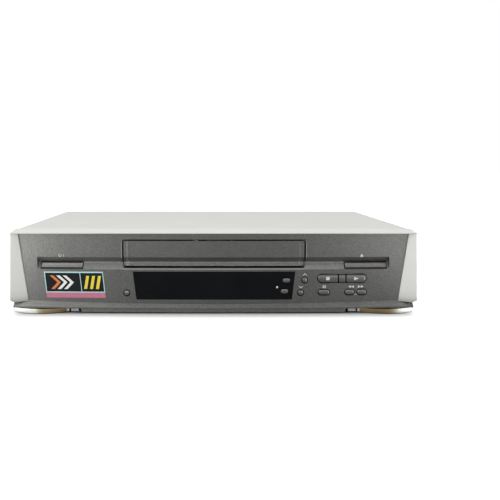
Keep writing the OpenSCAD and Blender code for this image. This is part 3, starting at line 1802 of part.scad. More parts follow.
module carriage() {
  color([0.15, 0.15, 0.15])
    at_deck() {
      both_sides() {
        difference() {
          span([carriage_in, carriage_out], [carriage_y0, carriage_y1], [carriage_low, carriage_top]);
          for (y = [holder_pin_front, holder_pin_back])
            along_x([carriage_in - 1, carriage_out + 1])
              rounded_box_2d(
                [y - holder_pin_r - gap, y + holder_pin_r + gap],
                [holder_pin_z - holder_drop - holder_pin_r - gap, holder_pin_z + holder_pin_r + gap],
                holder_pin_r);
        }
        for (y = [carriage_pin_front, carriage_pin_back])
          rod_x(carriage_pin_r, [carriage_out - eps, bracket_out + 1.2], y, carriage_pin_z);
      }
      span([-carriage_out, carriage_out], [carriage_y1 - 12, carriage_y1], [carriage_top - carriage_t, carriage_top]);
    }
}

bracket_y0 = carriage_pin_front - 11;
bracket_y1 = carriage_pin_back + carriage_travel + 18;

module carriage_frame() {
  bridge_y = (bracket_y0 + bracket_y1) / 2 + 18;
  color([0.7, 0.71, 0.71])
    at_deck() {
      both_sides() {
        difference() {
          span([bracket_in, bracket_out], [bracket_y0, bracket_y1], [deck_top, bridge_z]);
          along_x([bracket_in - 1, bracket_out + 1])
            rounded_box_2d(
              [carriage_pin_front - carriage_pin_r - gap,
                carriage_pin_back + carriage_travel + carriage_pin_r + gap],
              [carriage_pin_z - carriage_pin_r - gap, carriage_pin_z + carriage_pin_r + gap],
              carriage_pin_r);
          span([bracket_in - 1, bracket_out + 1], [bracket_y0 + 24, bracket_y1 - 30],
            [deck_top + 8, carriage_pin_z - 12]);
        }
        span([bracket_out - eps, deck_half - 1], [-40, 10], [deck_top, deck_top + bracket_t]);
      }
      span([-bracket_out, bracket_out], [bridge_y - 14, bridge_y + 14], [bridge_z - bracket_t, bridge_z]);
    }
}

top_cover();
screws();
bottom_tray();
front_frame();
fascia();
cassette_door();
display_window();
display_tube();
front_board();
key_switches();
button_spacer();
power_button();
eject_button();
stop_button();
play_button();
pause_button();
rewind_button();
forward_button();
channel_up_button();
channel_down_button();
timer_button();
record_button();
link_button();
front_label();
front_feet();
rubber_feet();
rear_panel();
scart_sockets();
aerial_sockets();
mains_inlet();
main_board();
board_components();
transformer();
heat_sink();
tuner_box();
deck_chassis();
lower_drum();
upper_drum();
drum_motor();
capstan();
capstan_motor();
pinch_arm();
pinch_roller();
supply_reel();
take_up_reel();
idler_arm();
idler_wheel();
clutch_pulley();
drive_belt();
loading_motor();
motor_pinion();
cam_gear();
supply_guide();
take_up_guide();
tension_arm();
erase_head();
audio_head();
cassette_holder();
carriage();
carriage_frame();
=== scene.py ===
# %% [markdown]
# A video cassette recorder, dressed for a photograph
# The solids come from the CAD model. This script gives them their finishes and adds the small printed and
# moulded things that are too fine for the solids: symbols, the sticker, outlines and light lines.
# Loading comes first, because every later piece takes its place from the frame.

# %% Load the frame
import math

import bmesh
import bpy
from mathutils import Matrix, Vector


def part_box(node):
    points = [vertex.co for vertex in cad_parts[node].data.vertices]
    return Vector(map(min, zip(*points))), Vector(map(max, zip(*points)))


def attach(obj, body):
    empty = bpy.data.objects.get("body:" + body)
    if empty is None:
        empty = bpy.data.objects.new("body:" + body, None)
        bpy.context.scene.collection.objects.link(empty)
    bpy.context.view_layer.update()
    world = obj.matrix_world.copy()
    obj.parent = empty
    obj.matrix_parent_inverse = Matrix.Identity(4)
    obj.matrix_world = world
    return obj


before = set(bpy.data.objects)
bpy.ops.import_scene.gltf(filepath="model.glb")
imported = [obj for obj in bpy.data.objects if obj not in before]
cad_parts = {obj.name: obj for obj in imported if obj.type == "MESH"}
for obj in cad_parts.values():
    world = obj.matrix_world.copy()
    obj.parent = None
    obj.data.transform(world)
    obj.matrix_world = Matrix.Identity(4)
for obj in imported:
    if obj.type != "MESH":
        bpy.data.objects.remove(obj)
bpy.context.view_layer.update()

# %% [markdown]
# The camera stands in front of the recorder, a little above it, and looks level. It could be aimed at the
# middle with a wide frame, but the photograph is a crop: the lens axis runs left of and above the middle of
# the picture. A small lens shift gives that framing and keeps the upright lines upright.

# %% Camera at the photograph's place
lens_mm = 48.32
camera_data = bpy.data.cameras.new("photo_camera")
camera_data.lens = lens_mm
camera_data.sensor_width = 36
camera_data.shift_x = 0.092
camera_data.shift_y = -0.1726
camera = bpy.data.objects.new("photo_camera", camera_data)
camera.location = (-0.0099, -0.8507, 0.1584)
camera.rotation_euler = (math.radians(90), 0, 0)
bpy.context.scene.collection.objects.link(camera)
bpy.context.scene.camera = camera
print("camera", tuple(round(c, 3) for c in camera.location), "lens", lens_mm)

# %% [markdown]
# The recorder stands on white paper in a light tent. A plain white plane is enough for the paper. Its
# colour has to read as white in the picture without extra light on the recorder, so a glow is added that
# only camera rays and reflections see. More lamps would also whiten it, but they would bleach the case. The
# glow fades where the floor is shut in, so the soft dark line under the case stays. It grows with distance,
# and it is full beyond the recorder's two ends. Reflections see a brighter paper at the sides than in
# front, which lights the ends of the face and the gold feet.

# %% Floor
def linear(r, g, b):
    """A colour read from a screen, 0 to 255, as the light values that shaders use."""
    def one(c):
        c = c / 255
        return c / 12.92 if c <= 0.04045 else ((c + 0.055) / 1.055) ** 2.4
    return (one(r), one(g), one(b), 1)


def stretch_value(mat, value, low, high, to_low, to_high):
    """Maps a value smoothly from one range to another."""
    node = mat.node_tree.nodes.new("ShaderNodeMapRange")
    node.interpolation_type = "SMOOTHSTEP"
    for key, number in (("From Min", low), ("From Max", high), ("To Min", to_low), ("To Max", to_high)):
        node.inputs[key].default_value = number
    mat.node_tree.links.new(value, node.inputs["Value"])
    return node.outputs[0]


def join_values(mat, how, a, b):
    """Joins two values: adds or multiplies them, or takes the larger one."""
    node = mat.node_tree.nodes.new("ShaderNodeMath")
    node.operation = how
    mat.node_tree.links.new(a, node.inputs[0])
    mat.node_tree.links.new(b, node.inputs[1])
    return node.outputs[0]


def paper_finish():
    """White paper whose glow is seen by camera rays and, in other shares, by reflections."""
    mat = bpy.data.materials.new("white_paper")
    mat.use_nodes = True
    nodes, links = mat.node_tree.nodes, mat.node_tree.links
    paper = nodes["Principled BSDF"]
    paper.inputs["Base Color"].default_value = linear(196, 196, 196)
    paper.inputs["Roughness"].default_value = 0.9
    paper.inputs["Specular IOR Level"].default_value = 0.1
    shut_in = nodes.new("ShaderNodeAmbientOcclusion")
    shut_in.samples = 16
    shut_in.inputs["Distance"].default_value = 0.045
    open_floor = stretch_value(mat, shut_in.outputs["AO"], 0.5, 1.0, 0.0, 0.8)
    place = nodes.new("ShaderNodeTexCoord")
    across = nodes.new("ShaderNodeSeparateXYZ")
    links.new(place.outputs["Object"], across.inputs[0])
    aside = nodes.new("ShaderNodeMath")
    aside.operation = "ABSOLUTE"
    links.new(across.outputs["X"], aside.inputs[0])
    beyond_ends = stretch_value(mat, aside.outputs[0], 0.198, 0.222, 0.0, 0.8)
    lit_floor = join_values(mat, "MAXIMUM", open_floor, beyond_ends)
    reach = nodes.new("ShaderNodeVectorMath")
    reach.operation = "LENGTH"
    links.new(place.outputs["Object"], reach.inputs[0])
    far = stretch_value(mat, reach.outputs["Value"], 0.35, 1.1, 0.0, 0.4)
    left = stretch_value(mat, across.outputs["X"], -0.2, -0.3, 0.0, 1.8)
    right = stretch_value(mat, across.outputs["X"], 0.2, 0.28, 0.0, 2.0)
    rays = nodes.new("ShaderNodeLightPath")
    camera_share = join_values(mat, "MULTIPLY", join_values(mat, "ADD", lit_floor, far),
                               rays.outputs["Is Camera Ray"])
    in_front = stretch_value(mat, shut_in.outputs["AO"], 0.5, 1.0, 0.0, 0.4)
    mirrored = join_values(mat, "ADD", join_values(mat, "ADD", left, right), in_front)
    mirror_share = join_values(mat, "MULTIPLY", mirrored, rays.outputs["Is Glossy Ray"])
    glow = nodes.new("ShaderNodeEmission")
    links.new(join_values(mat, "ADD", camera_share, mirror_share), glow.inputs["Strength"])
    both = nodes.new("ShaderNodeAddShader")
    links.new(paper.outputs[0], both.inputs[0])
    links.new(glow.outputs[0], both.inputs[1])
    links.new(both.outputs[0], nodes["Material Output"].inputs["Surface"])
    return mat


floor_mesh = bpy.data.meshes.new("paper_floor")
paper_near, paper_far = -7, 9
floor_mesh.from_pydata([(-paper_far, paper_near, 0), (paper_far, paper_near, 0), (paper_far, paper_far, 0),
                        (-paper_far, paper_far, 0)], [], [(0, 1, 2, 3)])
floor = bpy.data.objects.new("paper_floor", floor_mesh)
bpy.context.scene.collection.objects.link(floor)
floor.data.materials.append(paper_finish())
print("floor", floor.name)

# %% [markdown]
# The light comes from a tent: white all round, with a dark gap in front where the camera looks in.
# The grey face mirrors that: it is bright at the left, darkest in the middle and lighter again at the right.
# This light gives part of it; the rest is a painted reflection in the face's colour.
# The gap could be a black card, but then the card needs a place in every view. A dark patch in the sky that
# lights the scene does the same, and stays where it is when the camera moves.

# %% Tent light
world = bpy.data.worlds.new("light_tent")
bpy.context.scene.world = world
world.use_nodes = True
sky = world.node_tree
sky.nodes.clear()


def sky_node(kind, **values):
    node = sky.nodes.new(kind)
    for key, value in values.items():
        setattr(node, key, value)
    return node


where = sky_node("ShaderNodeTexCoord")
parts = sky_node("ShaderNodeSeparateXYZ")
sky.links.new(where.outputs["Generated"], parts.inputs[0])


def wall_light(axis, low, high, to_low, to_high):
    """Brightness of the tent along one axis, from one direction to another."""
    node = sky_node("ShaderNodeMapRange", interpolation_type="SMOOTHSTEP")
    for key, number in (("From Min", low), ("From Max", high), ("To Min", to_low), ("To Max", to_high)):
        node.inputs[key].default_value = number
    sky.links.new(parts.outputs[axis], node.inputs["Value"])
    return node.outputs[0]


front_gap = wall_light("Y", -0.985, -0.5, 0.1, 0.55)
left_wall = wall_light("X", -0.2, -0.7, 0.0, 0.45)
right_wall = wall_light("X", 0.35, 0.95, 0.0, 0.6)
both_walls = sky_node("ShaderNodeMath", operation="ADD")
all_walls = sky_node("ShaderNodeMath", operation="ADD")
sky.links.new(left_wall, both_walls.inputs[0])
sky.links.new(right_wall, both_walls.inputs[1])
sky.links.new(both_walls.outputs[0], all_walls.inputs[0])
sky.links.new(front_gap, all_walls.inputs[1])
tent = sky_node("ShaderNodeBackground")
tent.inputs["Color"].default_value = (1, 1, 1, 1)
sky.links.new(all_walls.outputs[0], tent.inputs["Strength"])
white = sky_node("ShaderNodeBackground")
white.inputs["Color"].default_value = (1, 1, 1, 1)
white.inputs["Strength"].default_value = 1
rays = sky_node("ShaderNodeLightPath")
chosen = sky_node("ShaderNodeMixShader")
sky.links.new(rays.outputs["Is Camera Ray"], chosen.inputs[0])
sky.links.new(tent.outputs[0], chosen.inputs[1])
sky.links.new(white.outputs[0], chosen.inputs[2])
out = sky_node("ShaderNodeOutputWorld")
sky.links.new(chosen.outputs[0], out.inputs["Surface"])
bpy.context.scene.view_settings.view_transform = "Standard"


def soft_lamp(name, place, aim, size, watts):
    """A large square lamp, so that its shadows have soft edges."""
    data = bpy.data.lights.new(name, "AREA")
    data.shape = "RECTANGLE"
    data.size, data.size_y = size
    data.energy = watts
    lamp = bpy.data.objects.new(name, data)
    lamp.location = place
    lamp.rotation_euler = (Vector(aim) - Vector(place)).to_track_quat("-Z", "Y").to_euler()
    bpy.context.scene.collection.objects.link(lamp)
    return lamp


lamps = [
    soft_lamp("lamp_above", (0, -0.35, 1.7), (0, -0.05, 0), (2.2, 1.8), 12.5),
    soft_lamp("lamp_left", (-1.3, -0.9, 0.6), (0, 0, 0.05), (0.9, 0.9), 10),
    soft_lamp("lamp_right", (1.6, -0.8, 0.7), (0, 0, 0.05), (0.9, 0.9), 7),
]
print("lamps", [lamp.name for lamp in lamps])

# %% [markdown]
# A finish is more than a colour: moulded plastic has a fine grain and uneven gloss, sheet steel has paint
# with a soft orange peel, machined metal has rings. One helper makes the base that all of them share: the
# colour wanders a little, the gloss wanders a little, a grain bends the light, and edges catch it as if
# they were rounded. The pattern uses object coordinates, so it has its real size in millimetres and never
# stretches. A second helper scales a finish's colour along a value: a place, how far the surface faces up,
# or how shut in it is. With it light and shade are painted into the colour: painted highlights, painted
# reflections and painted shade.

# %% The base of every finish
def base_finish(name, rgb, rough, metal=0.0, spread=0.04, patch=0.03, grain=0.0004, depth=0.02,
                edge=0.0004, coat=0.0, specular=0.5, stretch=(1, 1, 1)):
    """rgb as on a screen; spread is how far the colour wanders; patch, grain and edge are metres."""
    mat = bpy.data.materials.new(name)
    mat.use_nodes = True
    nodes, links = mat.node_tree.nodes, mat.node_tree.links
    shader = nodes["Principled BSDF"]
    shader.inputs["Metallic"].default_value = metal
    shader.inputs["Coat Weight"].default_value = coat
    shader.inputs["Specular IOR Level"].default_value = specular
    place = nodes.new("ShaderNodeTexCoord")
    pull = nodes.new("ShaderNodeMapping")
    pull.inputs["Scale"].default_value = stretch
    links.new(place.outputs["Object"], pull.inputs["Vector"])
    clouds = nodes.new("ShaderNodeTexNoise")
    clouds.inputs["Scale"].default_value = 1 / patch
    clouds.inputs["Detail"].default_value = 6
    links.new(pull.outputs[0], clouds.inputs["Vector"])
    ramp = nodes.new("ShaderNodeValToRGB")
    low, high = 1 - spread, 1 + spread
    full = linear(*rgb)
    ramp.color_ramp.elements[0].position = 0.3
    ramp.color_ramp.elements[0].color = (*(c * low for c in full[:3]), 1)
    ramp.color_ramp.elements[1].position = 0.7
    ramp.color_ramp.elements[1].color = (*(min(1, c * high) for c in full[:3]), 1)
    links.new(clouds.outputs["Fac"], ramp.inputs[0])
    links.new(ramp.outputs[0], shader.inputs["Base Color"])
    gloss = nodes.new("ShaderNodeMapRange")
    gloss.inputs["To Min"].default_value = max(0.02, rough - 0.05)
    gloss.inputs["To Max"].default_value = min(1, rough + 0.05)
    links.new(clouds.outputs["Fac"], gloss.inputs["Value"])
    links.new(gloss.outputs[0], shader.inputs["Roughness"])
    fine = nodes.new("ShaderNodeTexNoise")
    fine.inputs["Scale"].default_value = 1 / grain
    fine.inputs["Detail"].default_value = 3
    links.new(pull.outputs[0], fine.inputs["Vector"])
    rounded = nodes.new("ShaderNodeBevel")
    rounded.samples = 4
    rounded.inputs["Radius"].default_value = edge
    bump = nodes.new("ShaderNodeBump")
    bump.inputs["Strength"].default_value = 0.5
    bump.inputs["Distance"].default_value = grain * depth * 10
    links.new(fine.outputs["Fac"], bump.inputs["Height"])
    links.new(rounded.outputs[0], bump.inputs["Normal"])
    links.new(bump.outputs[0], shader.inputs["Normal"])
    return mat


def part_of(mat, kind):
    """The first node of one kind in a finish, for changing it afterwards."""
    return next(n for n in mat.node_tree.nodes if n.bl_idname == kind)


def ramp_along(mat, value, stops, colour_of):
    """A colour ramp that follows a value; stops are (value, entry) pairs in rising order."""
    nodes, links = mat.node_tree.nodes, mat.node_tree.links
    low, high = stops[0][0], stops[-1][0]
    span = nodes.new("ShaderNodeMapRange")
    span.inputs["From Min"].default_value = low
    span.inputs["From Max"].default_value = high
    links.new(value, span.inputs["Value"])
    ramp = nodes.new("ShaderNodeValToRGB")
    points = ramp.color_ramp.elements
    points[0].position, points[1].position = 0, 1
    for at, _ in stops[1:-1]:
        points.new((at - low) / (high - low))
    for k, (_, entry) in enumerate(stops):
        ramp.color_ramp.elements[k].color = colour_of(entry)
    links.new(span.outputs[0], ramp.inputs[0])
    return ramp.outputs["Color"]


def shade(mat, value, stops, top=2.6):
    """Scales a finish's colour along a value; the entries of stops are factors up to top."""
    nodes, links = mat.node_tree.nodes, mat.node_tree.links
    stronger = nodes.new("ShaderNodeMath")
    stronger.operation = "MULTIPLY"
    stronger.inputs[1].default_value = top
    greys = ramp_along(mat, value, stops, lambda factor: (factor / top, factor / top, factor / top, 1))
    links.new(greys, stronger.inputs[0])
    scaled = nodes.new("ShaderNodeVectorMath")
    scaled.operation = "SCALE"
    colour = nodes["Principled BSDF"].inputs["Base Color"]
    links.new(colour.links[0].from_socket, scaled.inputs[0])
    links.new(stronger.outputs[0], scaled.inputs["Scale"])
    links.new(scaled.outputs[0], colour)


def place_along(mat, axis):
    """The place along one axis of the frame, as a value that shade can follow."""
    parts = mat.node_tree.nodes.new("ShaderNodeSeparateXYZ")
    mat.node_tree.links.new(part_of(mat, "ShaderNodeTexCoord").outputs["Object"], parts.inputs[0])
    return parts.outputs[axis]


def upward(mat):
    """How far a surface faces up: 1 for a top, 0 for a wall, -1 for an underside."""
    form = mat.node_tree.nodes.new("ShaderNodeNewGeometry")
    parts = mat.node_tree.nodes.new("ShaderNodeSeparateXYZ")
    mat.node_tree.links.new(form.outputs["Normal"], parts.inputs[0])
    return parts.outputs["Z"]


def painted_shade_in_gaps(mat, reach=0.003):
    """Paints shade into a finish where it is shut in, as in the gap round a key."""
    shut_in = mat.node_tree.nodes.new("ShaderNodeAmbientOcclusion")
    shut_in.samples = 8
    shut_in.inputs["Distance"].default_value = reach
    shade(mat, shut_in.outputs["AO"], [(0, 0.02), (0.28, 0.1), (0.42, 1), (1, 1)])


print("base finish ready")

# %% [markdown]
# The cover is folded steel sheet with a light silver-grey paint. Close up the paint has a soft orange peel
# and a few dull patches from handling. The front frame is moulded plastic painted to match, so it is a
# little smoother. Both could share one finish, but the joint between them shows as a change of tone. The
# cheeks turn under at the bottom, and their colour is painted darker towards the bottom, a painted shade
# for that rounding. The top strip of the frame is painted a little darker too, also a painted shade.

# %% Case finishes
cover_paint = base_finish("cover_paint", (209, 210, 205), 0.42, spread=0.02, patch=0.05, grain=0.0009,
                          depth=0.012, edge=0.0006, specular=0.4)
frame_paint = base_finish("frame_paint", (228, 229, 224), 0.38, spread=0.015, patch=0.06, grain=0.0005,
                          depth=0.01, edge=0.0006, specular=0.45)
# Painted shade: the cheeks darker towards the bottom and the top strip a little darker.
shade(frame_paint, place_along(frame_paint, "Z"), [
    (0.012, 0.42), (0.0134, 0.55), (0.0144, 0.64), (0.0155, 0.7), (0.018, 0.82), (0.025, 0.93), (0.04, 0.98),
    (0.06, 1.0), (0.0845, 1.0), (0.0856, 0.87), (0.09, 0.87)])
print("case finishes", cover_paint.name, frame_paint.name)

# %% [markdown]
# The dark face is painted plastic with a metallic fleck. Seen from the front it is charcoal, and it takes
# on the brightness of what it mirrors. A plain grey would look dead, so a fine fleck lightens single grains
# of the paint, and a thin clear coat gives the broad soft reflection. The door, the buttons and the spacer
# are painted the same, with a little more gloss where fingers polish them. Light and shade are also
# painted into their colour. Surfaces that face up are painted lighter, a painted highlight for the roof of
# the tent: the lower slope of the groove, the lip and the tops of the keys. Along its length the face is
# painted lightest at the left end, darkest in the middle and lighter again at the right end, a painted
# reflection of the tent. By height, the apron is painted lighter and the lower part of the face a little
# darker. The groove's slope is of one tone all along and has a painted highlight of its own, brightest in
# its fold. The narrow gaps are painted nearly black where they are shut in, a painted shade.

# %% Face finishes
def fleck(mat, size, amount, rgb):
    """Mixes bright grains of the given size into a finish's colour."""
    nodes, links = mat.node_tree.nodes, mat.node_tree.links
    grains = nodes.new("ShaderNodeTexVoronoi")
    grains.inputs["Scale"].default_value = 1 / size
    links.new(part_of(mat, "ShaderNodeMapping").outputs[0], grains.inputs["Vector"])
    chance = nodes.new("ShaderNodeMapRange")
    chance.inputs["From Min"].default_value = 0.55
    chance.inputs["From Max"].default_value = 0.95
    chance.inputs["To Max"].default_value = amount
    parts = nodes.new("ShaderNodeSeparateColor")
    links.new(grains.outputs["Color"], parts.inputs[0])
    links.new(parts.outputs[0], chance.inputs["Value"])
    mix = nodes.new("ShaderNodeMix")
    mix.data_type = "RGBA"
    mix.inputs[7].default_value = linear(*rgb)
    links.new(chance.outputs[0], mix.inputs[0])
    links.new(part_of(mat, "ShaderNodeValToRGB").outputs[0], mix.inputs[6])
    links.new(mix.outputs[2], mat.node_tree.nodes["Principled BSDF"].inputs["Base Color"])


face_paint = base_finish("face_paint", (81, 81, 79), 0.36, metal=0.35, spread=0.03, patch=0.08, grain=0.0003,
                         depth=0.015, edge=0.0003, coat=0.15, specular=0.5)
fleck(face_paint, 0.0004, 0.35, (150, 150, 146))
door_paint = base_finish("door_paint", (79, 79, 77), 0.34, metal=0.35, spread=0.03, patch=0.07, grain=0.0003,
                         depth=0.015, edge=0.0004, coat=0.2, specular=0.5)
fleck(door_paint, 0.0004, 0.35, (150, 150, 146))
button_paint = base_finish("button_paint", (90, 89, 87), 0.3, metal=0.35, spread=0.03, patch=0.01,
                           grain=0.0003, depth=0.01, edge=0.0005, coat=0.3, specular=0.5)
fleck(button_paint, 0.0004, 0.3, (165, 163, 158))
# Painted reflection of the tent along the face: lightest at the left end, darkest in the middle.
painted_light_along_face = [
    (-0.2145, 2.05), (-0.199, 1.92), (-0.179, 1.58), (-0.159, 1.35), (-0.139, 1.28), (-0.119, 1.17),
    (-0.099, 1.06), (-0.079, 1.0), (-0.039, 0.94), (-0.019, 0.9), (0.001, 0.81), (0.061, 0.77), (0.081, 0.81),
    (0.101, 0.85), (0.121, 0.92), (0.14, 0.95), (0.16, 0.96), (0.18, 0.99), (0.2145, 1.15)]
# Painted light by height: the apron lighter, the lower part of the face a little darker.
painted_light_by_height = [(0.0, 1.75), (0.0053, 1.75), (0.0058, 0.86), (0.044, 0.86), (0.06, 1.0), (0.09, 1.0)]
groove_valley, groove_foot, groove_half = 0.054, 0.0465, 0.1868
# Painted highlight on the groove's lower slope, brightest in its fold.
painted_slope_highlight = [(0.0462, 1.0), (0.0466, 1.1), (0.049, 1.1), (0.0502, 1.14), (0.0512, 1.32), (0.0521, 1.62),
            (0.0531, 2.6), (0.0538, 3.1), (0.0541, 1.0)]


def on_slope(mat):
    """1 on the groove's lower slope and 0 elsewhere, with the places along x and z that it was found from."""
    x, z = place_along(mat, "X"), place_along(mat, "Z")

    def test(how, value, limit):
        node = mat.node_tree.nodes.new("ShaderNodeMath")
        node.operation = how
        node.inputs[1].default_value = limit
        mat.node_tree.links.new(value, node.inputs[0])
        return node.outputs[0]

    away = test("ABSOLUTE", x, 0)
    above_foot = test("GREATER_THAN", z, groove_foot - 0.0001)
    inside = join_values(mat, "MULTIPLY", test("LESS_THAN", away, groove_half), above_foot)
    return join_values(mat, "MULTIPLY", inside, test("LESS_THAN", z, groove_valley + 0.00005)), x, z


def held(mat, value, mask, rest):
    """The value outside a mask, and a fixed one inside it."""
    node = mat.node_tree.nodes.new("ShaderNodeMix")
    node.inputs[3].default_value = rest
    mat.node_tree.links.new(mask, node.inputs[0])
    mat.node_tree.links.new(value, node.inputs[2])
    return node.outputs[0]


# The face and the door get their painted light along x, by height and on the groove's slope.
for mat in (face_paint, door_paint):
    slope, x, z = on_slope(mat)
    shade(mat, held(mat, x, slope, 0.14), painted_light_along_face)
    shade(mat, z, painted_light_by_height)
    shade(mat, join_values(mat, "MULTIPLY", z, slope), painted_slope_highlight, top=4)
# The keys get the same painted reflection along the face.
shade(button_paint, place_along(button_paint, "X"), painted_light_along_face)
# Tops are painted lighter as a painted highlight, and shut-in gaps are darkened as a painted shade.
for mat in (face_paint, door_paint, button_paint):
    shade(mat, upward(mat), [(-1, 1.0), (-0.5, 1.1), (-0.2, 1), (0.2, 1), (0.55, 1.75), (1, 1.9)])
    painted_shade_in_gaps(mat)
# Painted highlight on the ridges near both ends of the door.
ridge, ridge_highlight_factor = 0.0909, 1.7
shade(door_paint, place_along(door_paint, "X"), [
    (-0.1, 1), (-ridge - 0.0008, 1), (-ridge - 0.0004, ridge_highlight_factor), (-ridge + 0.0004, ridge_highlight_factor),
    (-ridge + 0.0008, 1), (ridge - 0.0002, 1), (ridge + 0.0002, ridge_highlight_factor), (ridge + 0.001, ridge_highlight_factor),
    (ridge + 0.0014, 1), (0.1, 1)])
print("face finishes", face_paint.name, door_paint.name, button_paint.name)

# %% [markdown]
# Each key has a rounded front: its rim turns away from the light at the top, a light line runs below that,
# and the lower half lies in its own shade. The solid has a flat front with a small chamfer. A painted shade
# and a painted highlight that follow each key's own height, from its bottom to its top, give the round look
# to all of them at once.

# %% Painted light on the rounded keys
height = part_of(button_paint, "ShaderNodeTexCoord").outputs["Generated"]
key_parts = button_paint.node_tree.nodes.new("ShaderNodeSeparateXYZ")
button_paint.node_tree.links.new(height, key_parts.inputs[0])
# Painted shade at the top and bottom of each key, with a painted highlight below its top.
shade(button_paint, key_parts.outputs["Z"], [
    (0, 0.4), (0.25, 0.42), (0.36, 0.5), (0.45, 0.56), (0.53, 0.75), (0.6, 1.0), (0.67, 1.3), (0.73, 1.35),
    (0.77, 1.1), (0.8, 0.4), (1, 0.4)])

# %% [markdown]
# The display window is smoked acrylic, so dark that only a lit display would show through. True glass would
# cost render time for nothing here. A black gloss with a hair of scratches and dust looks the same.

# %% Window and label finishes
window_acrylic = base_finish("window_acrylic", (12, 14, 17), 0.12, spread=0.25, patch=0.03, grain=0.003,
                             depth=0.0015, edge=0.0003, specular=0.06)
sticker_film = base_finish("sticker_film", (22, 25, 28), 0.22, spread=0.1, patch=0.02, grain=0.002,
                           depth=0.003, edge=0.0001, specular=0.15)
print("window finish", window_acrylic.name)

# %% [markdown]
# The front feet are plastic with a gold metal layer. A plain gold metal would do, but the real plating
# mirrors the white paper: it is nearly white at the outer end of each foot and a deep brown-gold further
# in, with a bright inner edge. A ramp along both feet paints that into the plating's colour, as a painted
# reflection with a painted highlight at the inner edge, and faint vertical streaks keep it from looking
# like a perfect mirror.

# %% Gold feet
gold_plating = base_finish("gold_plating", (206, 180, 128), 0.2, metal=1.0, spread=0.06, patch=0.004,
                           grain=0.0012, depth=0.004, edge=0.0006, stretch=(1, 1, 0.15))


def paint_reflection_along(mat, stops):
    """Paints a reflection along x over both feet, mixed over the plating's own streaks."""
    nodes, links = mat.node_tree.nodes, mat.node_tree.links
    tones = ramp_along(mat, place_along(mat, "X"), stops, lambda rgb: linear(*rgb))
    mix = nodes.new("ShaderNodeMix")
    mix.data_type = "RGBA"
    mix.inputs[0].default_value = 0.9
    colour = nodes["Principled BSDF"].inputs["Base Color"]
    links.new(colour.links[0].from_socket, mix.inputs[6])
    links.new(tones, mix.inputs[7])
    links.new(mix.outputs[2], colour)


# Painted reflection: nearly white at the outer ends, brown-gold further in, a painted highlight at the inner
# edges.
paint_reflection_along(gold_plating, [
    (-0.2130, (220, 216, 206)), (-0.2115, (246, 243, 236)), (-0.2090, (255, 255, 255)),
    (-0.1905, (255, 255, 250)), (-0.1870, (240, 236, 224)), (-0.1840, (186, 178, 156)),
    (-0.1790, (146, 136, 110)), (-0.1610, (122, 102, 72)), (-0.1562, (118, 92, 66)),
    (-0.1556, (255, 255, 250)), (0.1556, (255, 255, 250)), (0.1562, (130, 110, 88)),
    (0.1610, (124, 106, 76)), (0.1740, (112, 92, 66)), (0.1850, (124, 110, 80)),
    (0.1890, (150, 140, 116)), (0.1925, (192, 186, 164)), (0.1960, (238, 235, 220)),
    (0.1990, (255, 255, 250)), (0.2100, (255, 255, 255)), (0.2130, (225, 220, 212))])
print("foot finish", gold_plating.name)

# %% [markdown]
# Inside and underneath are the materials of any recorder of the kind: zinc-plated sheet, black moulded
# plastic, rubber, white bearing plastic, turned aluminium and motor boards. Zinc plate shows pale crystals,
# which a cell pattern gives. Turned metal shows rings, which a ring pattern gives once it is centred on the
# part's own axis.

# %% Workshop finishes
def crystals(mat, size, amount):
    """Pale and dull crystals in zinc plate, as cells of colour and gloss."""
    nodes, links = mat.node_tree.nodes, mat.node_tree.links
    cells = nodes.new("ShaderNodeTexVoronoi")
    cells.inputs["Scale"].default_value = 1 / size
    links.new(part_of(mat, "ShaderNodeMapping").outputs[0], cells.inputs["Vector"])
    tone = nodes.new("ShaderNodeHueSaturation")
    tone.inputs["Saturation"].default_value = 0.6
    shift = nodes.new("ShaderNodeMapRange")
    shift.inputs["To Min"].default_value = 1 - amount
    shift.inputs["To Max"].default_value = 1 + amount
    parts = nodes.new("ShaderNodeSeparateColor")
    links.new(cells.outputs["Color"], parts.inputs[0])
    links.new(parts.outputs[1], shift.inputs["Value"])
    links.new(shift.outputs[0], tone.inputs["Value"])
    links.new(part_of(mat, "ShaderNodeValToRGB").outputs[0], tone.inputs["Color"])
    links.new(tone.outputs[0], nodes["Principled BSDF"].inputs["Base Color"])
    return mat


def rings(mat, centre, pitch, tilt=0.0, depth=0.00002):
    """Turned rings round an upright axis at centre, cut into the finish's bump."""
    nodes, links = mat.node_tree.nodes, mat.node_tree.links
    shift = nodes.new("ShaderNodeMapping")
    shift.vector_type = "TEXTURE"
    shift.inputs["Location"].default_value = (*centre, 0)
    shift.inputs["Rotation"].default_value = (0, tilt, 0)
    links.new(part_of(mat, "ShaderNodeTexCoord").outputs["Object"], shift.inputs["Vector"])
    wave = nodes.new("ShaderNodeTexWave")
    wave.wave_type = "RINGS"
    wave.rings_direction = "Z"
    wave.inputs["Scale"].default_value = 0.05 / pitch * 6.28
    wave.inputs["Distortion"].default_value = 0.4
    links.new(shift.outputs[0], wave.inputs["Vector"])
    bump = nodes.new("ShaderNodeBump")
    bump.inputs["Strength"].default_value = 0.6
    bump.inputs["Distance"].default_value = depth
    old = part_of(mat, "ShaderNodeBump")
    links.new(wave.outputs["Fac"], bump.inputs["Height"])
    links.new(old.outputs[0], bump.inputs["Normal"])
    links.new(bump.outputs[0], nodes["Principled BSDF"].inputs["Normal"])
    return mat


